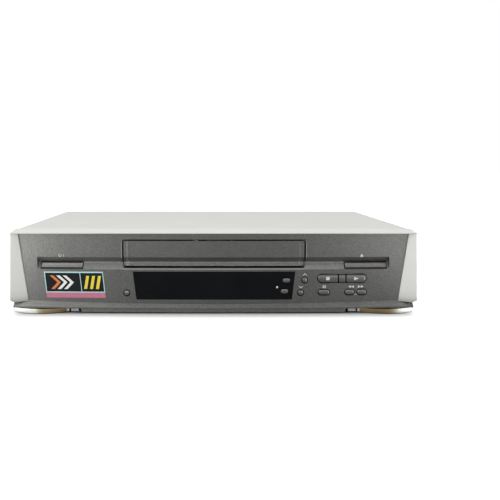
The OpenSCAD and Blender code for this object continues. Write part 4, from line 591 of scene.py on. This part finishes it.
zinc_sheet = crystals(base_finish("zinc_sheet", (176, 178, 176), 0.42, metal=0.85, spread=0.04, patch=0.02,
                                  grain=0.0006, depth=0.008), 0.004, 0.12)
bright_steel = base_finish("bright_steel", (205, 205, 203), 0.24, metal=1.0, spread=0.04, patch=0.004,
                           grain=0.0004, depth=0.006, stretch=(1, 1, 0.05))
screw_zinc = crystals(base_finish("screw_zinc", (190, 190, 184), 0.34, metal=0.9, spread=0.05, patch=0.003,
                                  grain=0.0004, depth=0.01, edge=0.0002), 0.0015, 0.08)
panel_paint = base_finish("panel_paint", (74, 74, 75), 0.55, spread=0.06, patch=0.03, grain=0.0006, depth=0.02)
black_moulding = base_finish("black_moulding", (27, 27, 28), 0.5, spread=0.12, patch=0.01, grain=0.0004,
                             depth=0.02, edge=0.0003)
soft_rubber = base_finish("soft_rubber", (30, 30, 30), 0.8, spread=0.15, patch=0.006, grain=0.0005, depth=0.03,
                          specular=0.25)
bearing_white = base_finish("bearing_white", (226, 225, 214), 0.36, spread=0.02, patch=0.01, grain=0.0005,
                            depth=0.008)
print("workshop finishes", zinc_sheet.name, bright_steel.name, bearing_white.name)

# %% [markdown]
# Turned parts get their own copy of the aluminium, because the rings have to be centred on each part's axis.
# The drum leans by five degrees, and its rings lean with it.

# %% Turned metal
drum_lean = math.radians(5)
drum_axis, capstan_axis = (0.0006, 0.060), (0.0666, 0.024)
drum_alloy = rings(base_finish("drum_alloy", (206, 208, 210), 0.22, metal=1.0, spread=0.03, patch=0.01,
                               grain=0.0004, depth=0.004), drum_axis, 0.0008, drum_lean)
flywheel_steel = rings(base_finish("flywheel_steel", (200, 200, 198), 0.26, metal=1.0, spread=0.03, patch=0.01,
                                   grain=0.0004, depth=0.004), capstan_axis, 0.0009)
sink_alloy = base_finish("sink_alloy", (178, 180, 182), 0.38, metal=0.9, spread=0.05, patch=0.004,
                         grain=0.0005, depth=0.01, stretch=(1, 1, 0.04))
print("turned metal", drum_alloy.name, flywheel_steel.name)

# %% [markdown]
# The circuit boards are brown laminate with copper tracks under a thin lacquer. Drawing each track would be
# slow and nobody could see it through the slots. A brick pattern with thin lines reads as tracks and pads
# at that size. The motor boards are green with a finer pattern.

# %% Circuit boards
def tracks(mat, size, rgb):
    """Thin lighter lines over a board, laid out like tracks."""
    nodes, links = mat.node_tree.nodes, mat.node_tree.links
    lines = nodes.new("ShaderNodeTexBrick")
    lines.inputs["Scale"].default_value = 1 / size
    lines.inputs["Mortar Size"].default_value = 0.06
    lines.inputs["Brick Width"].default_value = 1.7
    lines.inputs["Row Height"].default_value = 0.35
    lines.inputs["Mortar"].default_value = linear(*rgb)
    turn = nodes.new("ShaderNodeMapping")
    turn.inputs["Rotation"].default_value = (0, 0, 0.6)
    links.new(part_of(mat, "ShaderNodeTexCoord").outputs["Object"], turn.inputs["Vector"])
    links.new(turn.outputs[0], lines.inputs["Vector"])
    base = part_of(mat, "ShaderNodeValToRGB").outputs[0]
    links.new(base, lines.inputs["Color1"])
    links.new(base, lines.inputs["Color2"])
    links.new(lines.outputs["Color"], nodes["Principled BSDF"].inputs["Base Color"])
    return mat


board_brown = tracks(base_finish("board_brown", (150, 118, 62), 0.45, spread=0.08, patch=0.02, grain=0.0006,
                                 depth=0.01), 0.008, (182, 146, 84))
board_green = tracks(base_finish("board_green", (58, 104, 66), 0.42, spread=0.08, patch=0.01, grain=0.0005,
                                 depth=0.01), 0.005, (96, 140, 92))
print("boards", board_brown.name, board_green.name)

# %% [markdown]
# Cans and chips share one solid, so one finish has to tell them apart. Height does it: chips are low and
# black, cans rise above them in blue sleeves. The transformer has iron sheets in the middle of its height
# and a yellow taped winding in front and behind, so there depth decides, and fine lines show the stacked
# sheets.

# %% Components and transformer
def change_over(mat, axis, at, width, rgb):
    """A second colour beyond a place along one axis of the frame."""
    nodes, links = mat.node_tree.nodes, mat.node_tree.links
    step = nodes.new("ShaderNodeMapRange")
    step.inputs["From Min"].default_value = at - width / 2
    step.inputs["From Max"].default_value = at + width / 2
    links.new(place_along(mat, axis), step.inputs["Value"])
    mix = nodes.new("ShaderNodeMix")
    mix.data_type = "RGBA"
    mix.inputs[7].default_value = linear(*rgb)
    links.new(step.outputs[0], mix.inputs[0])
    old = nodes["Principled BSDF"].inputs["Base Color"].links[0].from_socket
    links.new(old, mix.inputs[6])
    links.new(mix.outputs[2], nodes["Principled BSDF"].inputs["Base Color"])
    return mat


chip_top, winding_back, winding_front, sharp = 0.0185, 0.0822, 0.0618, 0.0002
tape_yellow = (206, 178, 92)
component_mix = change_over(base_finish("component_mix", (36, 36, 38), 0.4, spread=0.1, patch=0.004,
                                        grain=0.0004, depth=0.008), "Z", chip_top, sharp, (44, 58, 112))
iron_and_tape = base_finish("iron_and_tape", (112, 112, 116), 0.45, spread=0.12, patch=0.003, grain=0.0005,
                            depth=0.02, stretch=(0.1, 1, 0.1))
change_over(iron_and_tape, "Y", winding_back, sharp, tape_yellow)
change_over(iron_and_tape, "Y", winding_front, -sharp, tape_yellow)
print("components", component_mix.name, iron_and_tape.name)

# %% [markdown]
# Every solid now gets its finish. A list by finish reads more easily than one line for each of sixty nodes,
# and a check at the end says if one was missed.

# %% Finishes onto the solids
keys = ["power_button", "eject_button", "stop_button", "play_button", "pause_button", "rewind_button",
        "forward_button", "channel_up_button", "channel_down_button", "timer_button", "record_button",
        "link_button"]
finish_of = {
    cover_paint: ["top_cover"],
    frame_paint: ["front_frame"],
    face_paint: ["fascia"],
    door_paint: ["cassette_door"],
    button_paint: keys + ["button_spacer"],
    window_acrylic: ["display_window", "display_tube"],
    sticker_film: ["front_label"],
    gold_plating: ["front_feet"],
    zinc_sheet: ["bottom_tray", "tuner_box", "deck_chassis", "pinch_arm", "idler_arm", "tension_arm",
                 "cassette_holder", "carriage_frame"],
    bright_steel: ["aerial_sockets", "loading_motor", "supply_guide", "take_up_guide", "erase_head",
                   "audio_head"],
    screw_zinc: ["screws"],
    panel_paint: ["rear_panel"],
    black_moulding: ["key_switches", "scart_sockets", "mains_inlet", "carriage"],
    soft_rubber: ["rubber_feet", "pinch_roller", "idler_wheel", "drive_belt"],
    bearing_white: ["supply_reel", "take_up_reel", "clutch_pulley", "motor_pinion", "cam_gear"],
    drum_alloy: ["lower_drum", "upper_drum"],
    flywheel_steel: ["capstan"],
    sink_alloy: ["heat_sink"],
    board_brown: ["front_board", "main_board"],
    board_green: ["drum_motor", "capstan_motor"],
    component_mix: ["board_components"],
    iron_and_tape: ["transformer"],
}
for mat, names in finish_of.items():
    for name in names:
        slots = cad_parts[name].data.materials
        slots.clear()
        slots.append(mat)
missed = set(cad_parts) - {n for names in finish_of.values() for n in names}
print("solids finished:", len(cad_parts) - len(missed), "missed:", sorted(missed))

# %% [markdown]
# Printed symbols and the sticker lie on the face, which bows back towards its ends and leans back towards
# the bottom. The same two rules that shape the solid give the depth of any point on it, so a print can be
# laid on the face wherever it goes. Each print is a thin plate, cut into strips so that it follows the bow.

# %% The face's own shape
bow_radius = 4.0
front_plane = -0.1445
face_top = 0.0855
lean_slope = math.tan(math.radians(3.8))


def face_depth(x, z):
    """How far back the plain face lies at a place, in metres."""
    return front_plane + (face_top - z) * lean_slope + bow_radius - math.sqrt(bow_radius ** 2 - x * x)


def plate(name, outlines, lift, thick, mat, body, depth_at=face_depth):
    """Flat shapes in x and z, laid on the face: lift is how far their front stands before it."""
    mesh = bpy.data.meshes.new(name)
    made = bmesh.new()
    for outline in outlines:
        front = [made.verts.new((x, depth_at(x, z) - lift, z)) for x, z in outline]
        back = [made.verts.new((x, depth_at(x, z) - lift + thick, z)) for x, z in outline]
        made.faces.new(front)
        made.faces.new(back[::-1])
        for i in range(len(front)):
            j = (i + 1) % len(front)
            made.faces.new((front[j], front[i], back[i], back[j]))
    bmesh.ops.recalc_face_normals(made, faces=made.faces)
    made.to_mesh(mesh)
    made.free()
    piece = bpy.data.objects.new(name, mesh)
    bpy.context.scene.collection.objects.link(piece)
    piece.data.materials.append(mat)
    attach(piece, body)


print("face depth at the middle of the window", round(face_depth(0, 0.03) * 1000, 2), "mm")

# %% [markdown]
# The symbols are screen-printed in pale ink: the usual signs for power, eject, stop, play, pause, rewind,
# forward and record, and two angles for the channel keys. They could be pictures on the paint, but thin
# plates of ink keep their edges sharp from any distance. Stop and play are printed on their keys, so they
# ride on them; the others stay on the face.

# %% Printed symbols
pale_ink = base_finish("pale_ink", (214, 213, 206), 0.5, spread=0.05, patch=0.002, grain=0.0004, depth=0.01,
                       edge=0.00005)


def ring_shape(x, z, r, width, start, turn, steps=20):
    """An arc as short blocks, with angles in degrees clockwise from the top."""
    blocks = []
    for i in range(steps):
        a, b = (math.radians(start + turn * k / steps) for k in (i, i + 1))
        blocks.append([(x + (r - width) * math.sin(a), z + (r - width) * math.cos(a)),
                       (x + r * math.sin(a), z + r * math.cos(a)),
                       (x + r * math.sin(b), z + r * math.cos(b)),
                       (x + (r - width) * math.sin(b), z + (r - width) * math.cos(b))])
    return blocks


def disc_shape(x, z, r, steps=20):
    """A round dot as one outline."""
    return [(x + r * math.sin(2 * math.pi * k / steps), z + r * math.cos(2 * math.pi * k / steps))
            for k in range(steps)]


def box_shape(x, z, w, h):
    """An upright rectangle round its middle."""
    return [(x - w / 2, z - h / 2), (x + w / 2, z - h / 2), (x + w / 2, z + h / 2), (x - w / 2, z + h / 2)]


def arrow_shape(x, z, w, h, way=1):
    """A solid triangle that points right, or left with way = -1."""
    return [(x - way * w / 2, z - h / 2), (x + way * w / 2, z), (x - way * w / 2, z + h / 2)]


def angle_shape(x, z, w, h, stroke, way=1):
    """An open angle that points up, or down with way = -1, as two bars."""
    t = stroke
    return [[(x - w / 2, z - way * h / 2), (x, z + way * h / 2), (x, z + way * (h / 2 - t)),
             (x - w / 2 + t * 0.8, z - way * h / 2)],
            [(x + w / 2, z - way * h / 2), (x, z + way * h / 2), (x, z + way * (h / 2 - t)),
             (x + w / 2 - t * 0.8, z - way * h / 2)]]


ink_lift, ink_thick = 0.00006, 0.0003
pill_z, low_signs_z, low_keys_z = 0.0368, 0.0279, 0.0221
signs = {
    "power_sign": ring_shape(-0.1625, 0.0612, 0.0017, 0.00045, 35, 290)
    + [box_shape(-0.1625, 0.0621, 0.00045, 0.002), box_shape(-0.1585, 0.0612, 0.0005, 0.0032)],
    "eject_sign": [[(0.1555, 0.0607), (0.1591, 0.0607), (0.1573, 0.0629)],
                   box_shape(0.1573, 0.0599, 0.0036, 0.0007)],
    "pause_sign": [box_shape(x, low_signs_z, 0.0011, 0.003) for x in (0.1166, 0.1186)],
    "rewind_sign": [arrow_shape(x, low_signs_z, 0.003, 0.0031, -1) for x in (0.1447, 0.1478)],
    "forward_sign": [arrow_shape(x, low_signs_z, 0.003, 0.0031) for x in (0.1551, 0.1582)],
    "channel_up_sign": angle_shape(0.0969, 0.0412, 0.005, 0.0024, 0.0009),
    "channel_down_sign": angle_shape(0.0928, 0.0276, 0.005, 0.0024, 0.0009, -1),
}
for name, shapes in signs.items():
    plate(name, shapes, ink_lift, ink_thick, pale_ink, "recorder")


def key_front(name):
    """A print on a key lies on that key's own front."""
    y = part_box(name)[0].y
    return lambda x, z: y


key_ink_lift, thin_ink = 0.00004, 0.0002
for name, outline in (("stop", box_shape(0.12135, pill_z, 0.0037, 0.0034)),
                      ("play", arrow_shape(0.1516, pill_z, 0.0052, 0.0036))):
    key = name + "_button"
    plate(name + "_sign", [outline], key_ink_lift, thin_ink, pale_ink, key, key_front(key))
window_ink_lift = -0.00029
plate("record_sign", [disc_shape(0.0676, 0.0276, 0.0011)], window_ink_lift, ink_thick, pale_ink, "recorder")
print("symbols", len(signs) + 3)

# %% [markdown]
# A bright sticker sits on the left end of the face: a dark field with chevrons, a panel of slanting bars
# and a rose strip, edged in pale cyan. One finish could mix all the inks by place, but each ink as its own
# thin plate is easier to move about. It is laid out in shares of the sticker's width and height, because
# the sticker is a leaning shape.

# %% Sticker
sticker_left, sticker_run, sticker_lean = -0.180, 0.063, 0.003
sticker_low, sticker_tall = 0.016, 0.028


def on_sticker(s, t):
    """A place on the sticker from shares across and up."""
    return sticker_left + sticker_lean * (1 - t) + sticker_run * s, sticker_low + sticker_tall * t


def sticker_shape(corners, cuts=10):
    """A four-cornered patch, cut into strips across so that it follows the bow of the face."""
    (s0, t0), (s1, t1), (s2, t2), (s3, t3) = corners
    strips = []
    for k in range(cuts):
        a, b = k / cuts, (k + 1) / cuts
        strips.append([on_sticker(s0 + (s1 - s0) * a, t0 + (t1 - t0) * a),
                       on_sticker(s0 + (s1 - s0) * b, t0 + (t1 - t0) * b),
                       on_sticker(s3 + (s2 - s3) * b, t3 + (t2 - t3) * b),
                       on_sticker(s3 + (s2 - s3) * a, t3 + (t2 - t3) * a)])
    return strips


def band(s0, t0, s1, t1):
    """An upright patch between two shares across and two shares up."""
    return sticker_shape([(s0, t0), (s1, t0), (s1, t1), (s0, t1)])


def sticker_ink(name, rgb):
    """A glossy ink in one colour."""
    return base_finish(name, rgb, 0.2, spread=0.06, patch=0.006, grain=0.002, depth=0.003, edge=0.00005,
                       coat=0.4)


cyan_ink = sticker_ink("cyan_ink", (178, 226, 226))
rose_ink = sticker_ink("rose_ink", (196, 112, 138))
white_ink = sticker_ink("white_ink", (236, 238, 236))
yellow_ink = sticker_ink("yellow_ink", (238, 214, 44))
orange_ink = sticker_ink("orange_ink", (214, 118, 40))
sticker_lift, sticker_thick = 0.00027, 0.00012
edge_bands = (band(0, 0.95, 1, 1) + band(0, 0.2, 1, 0.235) + band(0, 0.235, 0.014, 0.95)
              + band(0.986, 0.235, 1, 0.95) + band(0.6, 0.235, 0.612, 0.95))
plate("sticker_edges", edge_bands, sticker_lift, sticker_thick, cyan_ink, "recorder")
plate("sticker_strip", band(0, 0, 1, 0.2), sticker_lift, sticker_thick, rose_ink, "recorder")


def chevron(s, wide, reach):
    """A right-pointing chevron as an upper and a lower arm."""
    low, mid, high = 0.33, 0.59, 0.85
    return (sticker_shape([(s, low), (s + wide, low), (s + reach + wide, mid), (s + reach, mid)], 4)
            + sticker_shape([(s + reach, mid), (s + reach + wide, mid), (s + wide, high), (s, high)], 4))


plate("sticker_chevrons", chevron(0.2, 0.06, 0.12) + chevron(0.31, 0.06, 0.12), sticker_lift, sticker_thick,
      white_ink, "recorder")
plate("sticker_first_chevron", chevron(0.09, 0.06, 0.12), sticker_lift, sticker_thick, orange_ink, "recorder")
plate("sticker_bars", [b for k in range(3) for b in sticker_shape(
    [(0.65 + 0.1 * k, 0.34), (0.7 + 0.1 * k, 0.34), (0.76 + 0.1 * k, 0.84), (0.71 + 0.1 * k, 0.84)], 4)],
      sticker_lift, sticker_thick, yellow_ink, "recorder")
print("sticker laid at", [round(v * 1000, 1) for v in on_sticker(0, 0)], "mm")

# %% [markdown]
# Round each key the opening's edge is rounded and lies in shadow, which shows as a firm dark outline, wider
# than the gap itself. Cutting the gap wider would make the keys rattle. A thin black ring on the face, as
# wide as a pencil line, gives the outline as a painted shadow and leaves the gap alone.

# %% Painted shadow round the keys
gap_shade = base_finish("gap_shade", (20, 20, 20), 0.6, spread=0.1, patch=0.003, grain=0.0003, depth=0.01,
                        edge=0.00005, specular=0.1)
key_gap = 0.0007
line_lift, line_thick = 0.00003, 0.0002


def pill_ring(x, z, w, h, wide=0.00035, steps=12):
    """Short blocks round a pill-shaped opening."""
    radius = h / 2 + key_gap
    turns = [(side, start + 180 * k / steps) for side, start in ((1, 0), (-1, 180)) for k in range(steps + 1)]
    rim = []
    for side, turn in turns:
        a = math.radians(turn)
        cx = x + side * (w - h) / 2
        rim.append([(cx + r * math.sin(a), z + r * math.cos(a)) for r in (radius, radius + wide)])
    return [[p[0], p[1], q[1], q[0]] for p, q in zip(rim, rim[1:] + rim[:1])]


outlined = {"stop_and_play": (0.1365, pill_z, 0.0512, 0.0082), "pause": (0.1173, low_keys_z, 0.0116, 0.0052),
            "rewind": (0.1447, low_keys_z, 0.0094, 0.0052), "forward": (0.1576, low_keys_z, 0.0094, 0.0052),
            "channel_up": (0.0966, 0.0351, 0.0054, 0.0054), "channel_down": (0.0925, 0.0217, 0.0054, 0.0054),
            "link": (-0.0918, 0.0214, 0.0054, 0.0054)}
# Each ring is a painted shadow round a key's opening.
for name, (x, z, w, h) in outlined.items():
    plate(name + "_outline", pill_ring(x, z, w, h), line_lift, line_thick, gap_shade, "recorder")
print("outlines", len(outlined))

# %% [markdown]
# Where a key's end turns towards the right-hand wall of the tent it catches a small light crescent. On the
# real keys that is a reflection on a rounded rim. The solid's chamfer is too fine for it, so a thin
# crescent of lighter paint, a painted highlight, sits just inside the rim and moves with its key. A short
# light dash joins rewind and forward; it is a painted highlight too.

# %% Painted highlights on the keys
painted_highlight = base_finish("painted_highlight", (176, 172, 166), 0.35, spread=0.05, patch=0.002, grain=0.0003, depth=0.01,
                        edge=0.00005)
crescents = {"play_button": (0.158, pill_z, 0.0027, 0.0008, 45, 85),
             "pause_button": (0.1205, low_keys_z, 0.0019, 0.0007, 60, 75),
             "rewind_button": (0.1468, low_keys_z, 0.0018, 0.0006, 40, 80),
             "forward_button": (0.1597, low_keys_z, 0.002, 0.0007, 55, 75),
             "channel_up_button": (0.0966, 0.0351, 0.0021, 0.0008, 45, 90),
             "channel_down_button": (0.0925, 0.0217, 0.0021, 0.0007, 30, 80),
             "link_button": (-0.0918, 0.0214, 0.0018, 0.0009, -50, 110)}
# Each crescent is a painted highlight that rides on its key.
for name, (x, z, r, wide, start, turn) in crescents.items():
    arc = ring_shape(x, z, r, wide, start, turn, 10)
    plate(name.replace("_button", "_crescent"), arc, line_lift, line_thick, painted_highlight, name, key_front(name))
# A painted highlight between rewind and forward.
plate("wind_highlight_dash", [box_shape(0.1511, 0.0196, 0.0034, 0.0008)], ink_lift, ink_thick, painted_highlight, "recorder")
print("crescents", len(crescents))

# %% [markdown]
# Beside the flap and the two long bars the face's edges are broken. They show a light line beside the
# flap's dark gap, a dark line at the inner end of each bar and along its upper and lower edge, and under
# the flap a dark sill with a light edge. All are narrow plates laid on the face: the light ones are painted
# highlights, and the dark ones, with a dark line round the flap's gap, are painted shadows. Those in the
# groove lie on its lower slope, whose depth has its own rule.

# %% Painted highlight and shadow lines beside the flap and the bars
valley_depth = 0.006
flap_middle, strips_across = 0.0006, 20
flap_lift = 0.00002


def slope_depth(x, z):
    """Depth of the groove's lower slope, in metres."""
    foot = face_depth(x, groove_foot)
    valley = face_depth(x, groove_valley) + valley_depth
    return foot + (valley - foot) * (z - groove_foot) / (groove_valley - groove_foot)


def bar_depth(x, z):
    """A bar's front stands a little out of the slope."""
    return slope_depth(x, z) - 0.0007


def row_of_boxes(x, z, wide, tall, count):
    """A long level line in short boxes, so that it follows the bow of the face."""
    return [box_shape(x + wide * (k - (count - 1) / 2), z, wide, tall) for k in range(count)]


# Painted highlights beside the flap's gap.
for name, x in (("flap_edge_left", -0.097), ("flap_edge_right", 0.0984)):
    plate(name, [box_shape(x, 0.0679, 0.0003, 0.0187)], flap_lift, line_thick, painted_highlight, "recorder")
# Painted shadow that widens the flap's dark gap at its sides and top.
gap_sides = [box_shape(-0.09615, 0.0661, 0.0006, 0.0242), box_shape(0.0975, 0.0661, 0.0008, 0.0242)]
plate("flap_gap_shade", gap_sides + row_of_boxes(0.0007, 0.07824, 0.00966, 0.0005, strips_across), flap_lift,
      line_thick, gap_shade, "recorder")
# Painted shadow at the inner end of each bar.
for name, x in (("power_end_line", -0.13815), ("eject_end_line", 0.13915)):
    plate(name, [box_shape(x, 0.0501, 0.0005, 0.0064)], line_lift, line_thick, gap_shade, "recorder",
          slope_depth)
# Painted shadow along each bar's upper and lower edge.
for name, x in (("power", -0.1611), ("eject", 0.1621)):
    shades = row_of_boxes(x, 0.0479, 0.0109, 0.0011, 4) + row_of_boxes(x, 0.0531, 0.0109, 0.0006, 4)
    plate(name + "_bar_edges", shades, 0.0001, line_thick, gap_shade, name + "_button", bar_depth)
# Painted highlight on the sill's edge, with a painted shadow above it.
sill_sheen = base_finish("sill_sheen", (142, 141, 138), 0.36, metal=0.2, spread=0.03, patch=0.01, grain=0.0003,
                         depth=0.01, edge=0.00005)
for name, z, tall, mat in (("sill_shade", 0.0482, 0.001, gap_shade),
                           ("sill_line", 0.04705, 0.0009, sill_sheen)):
    sill = row_of_boxes(flap_middle, z, 0.0096, tall, strips_across)
    plate(name, sill, line_lift, line_thick, mat, "recorder", slope_depth)
print("edge lines 9")
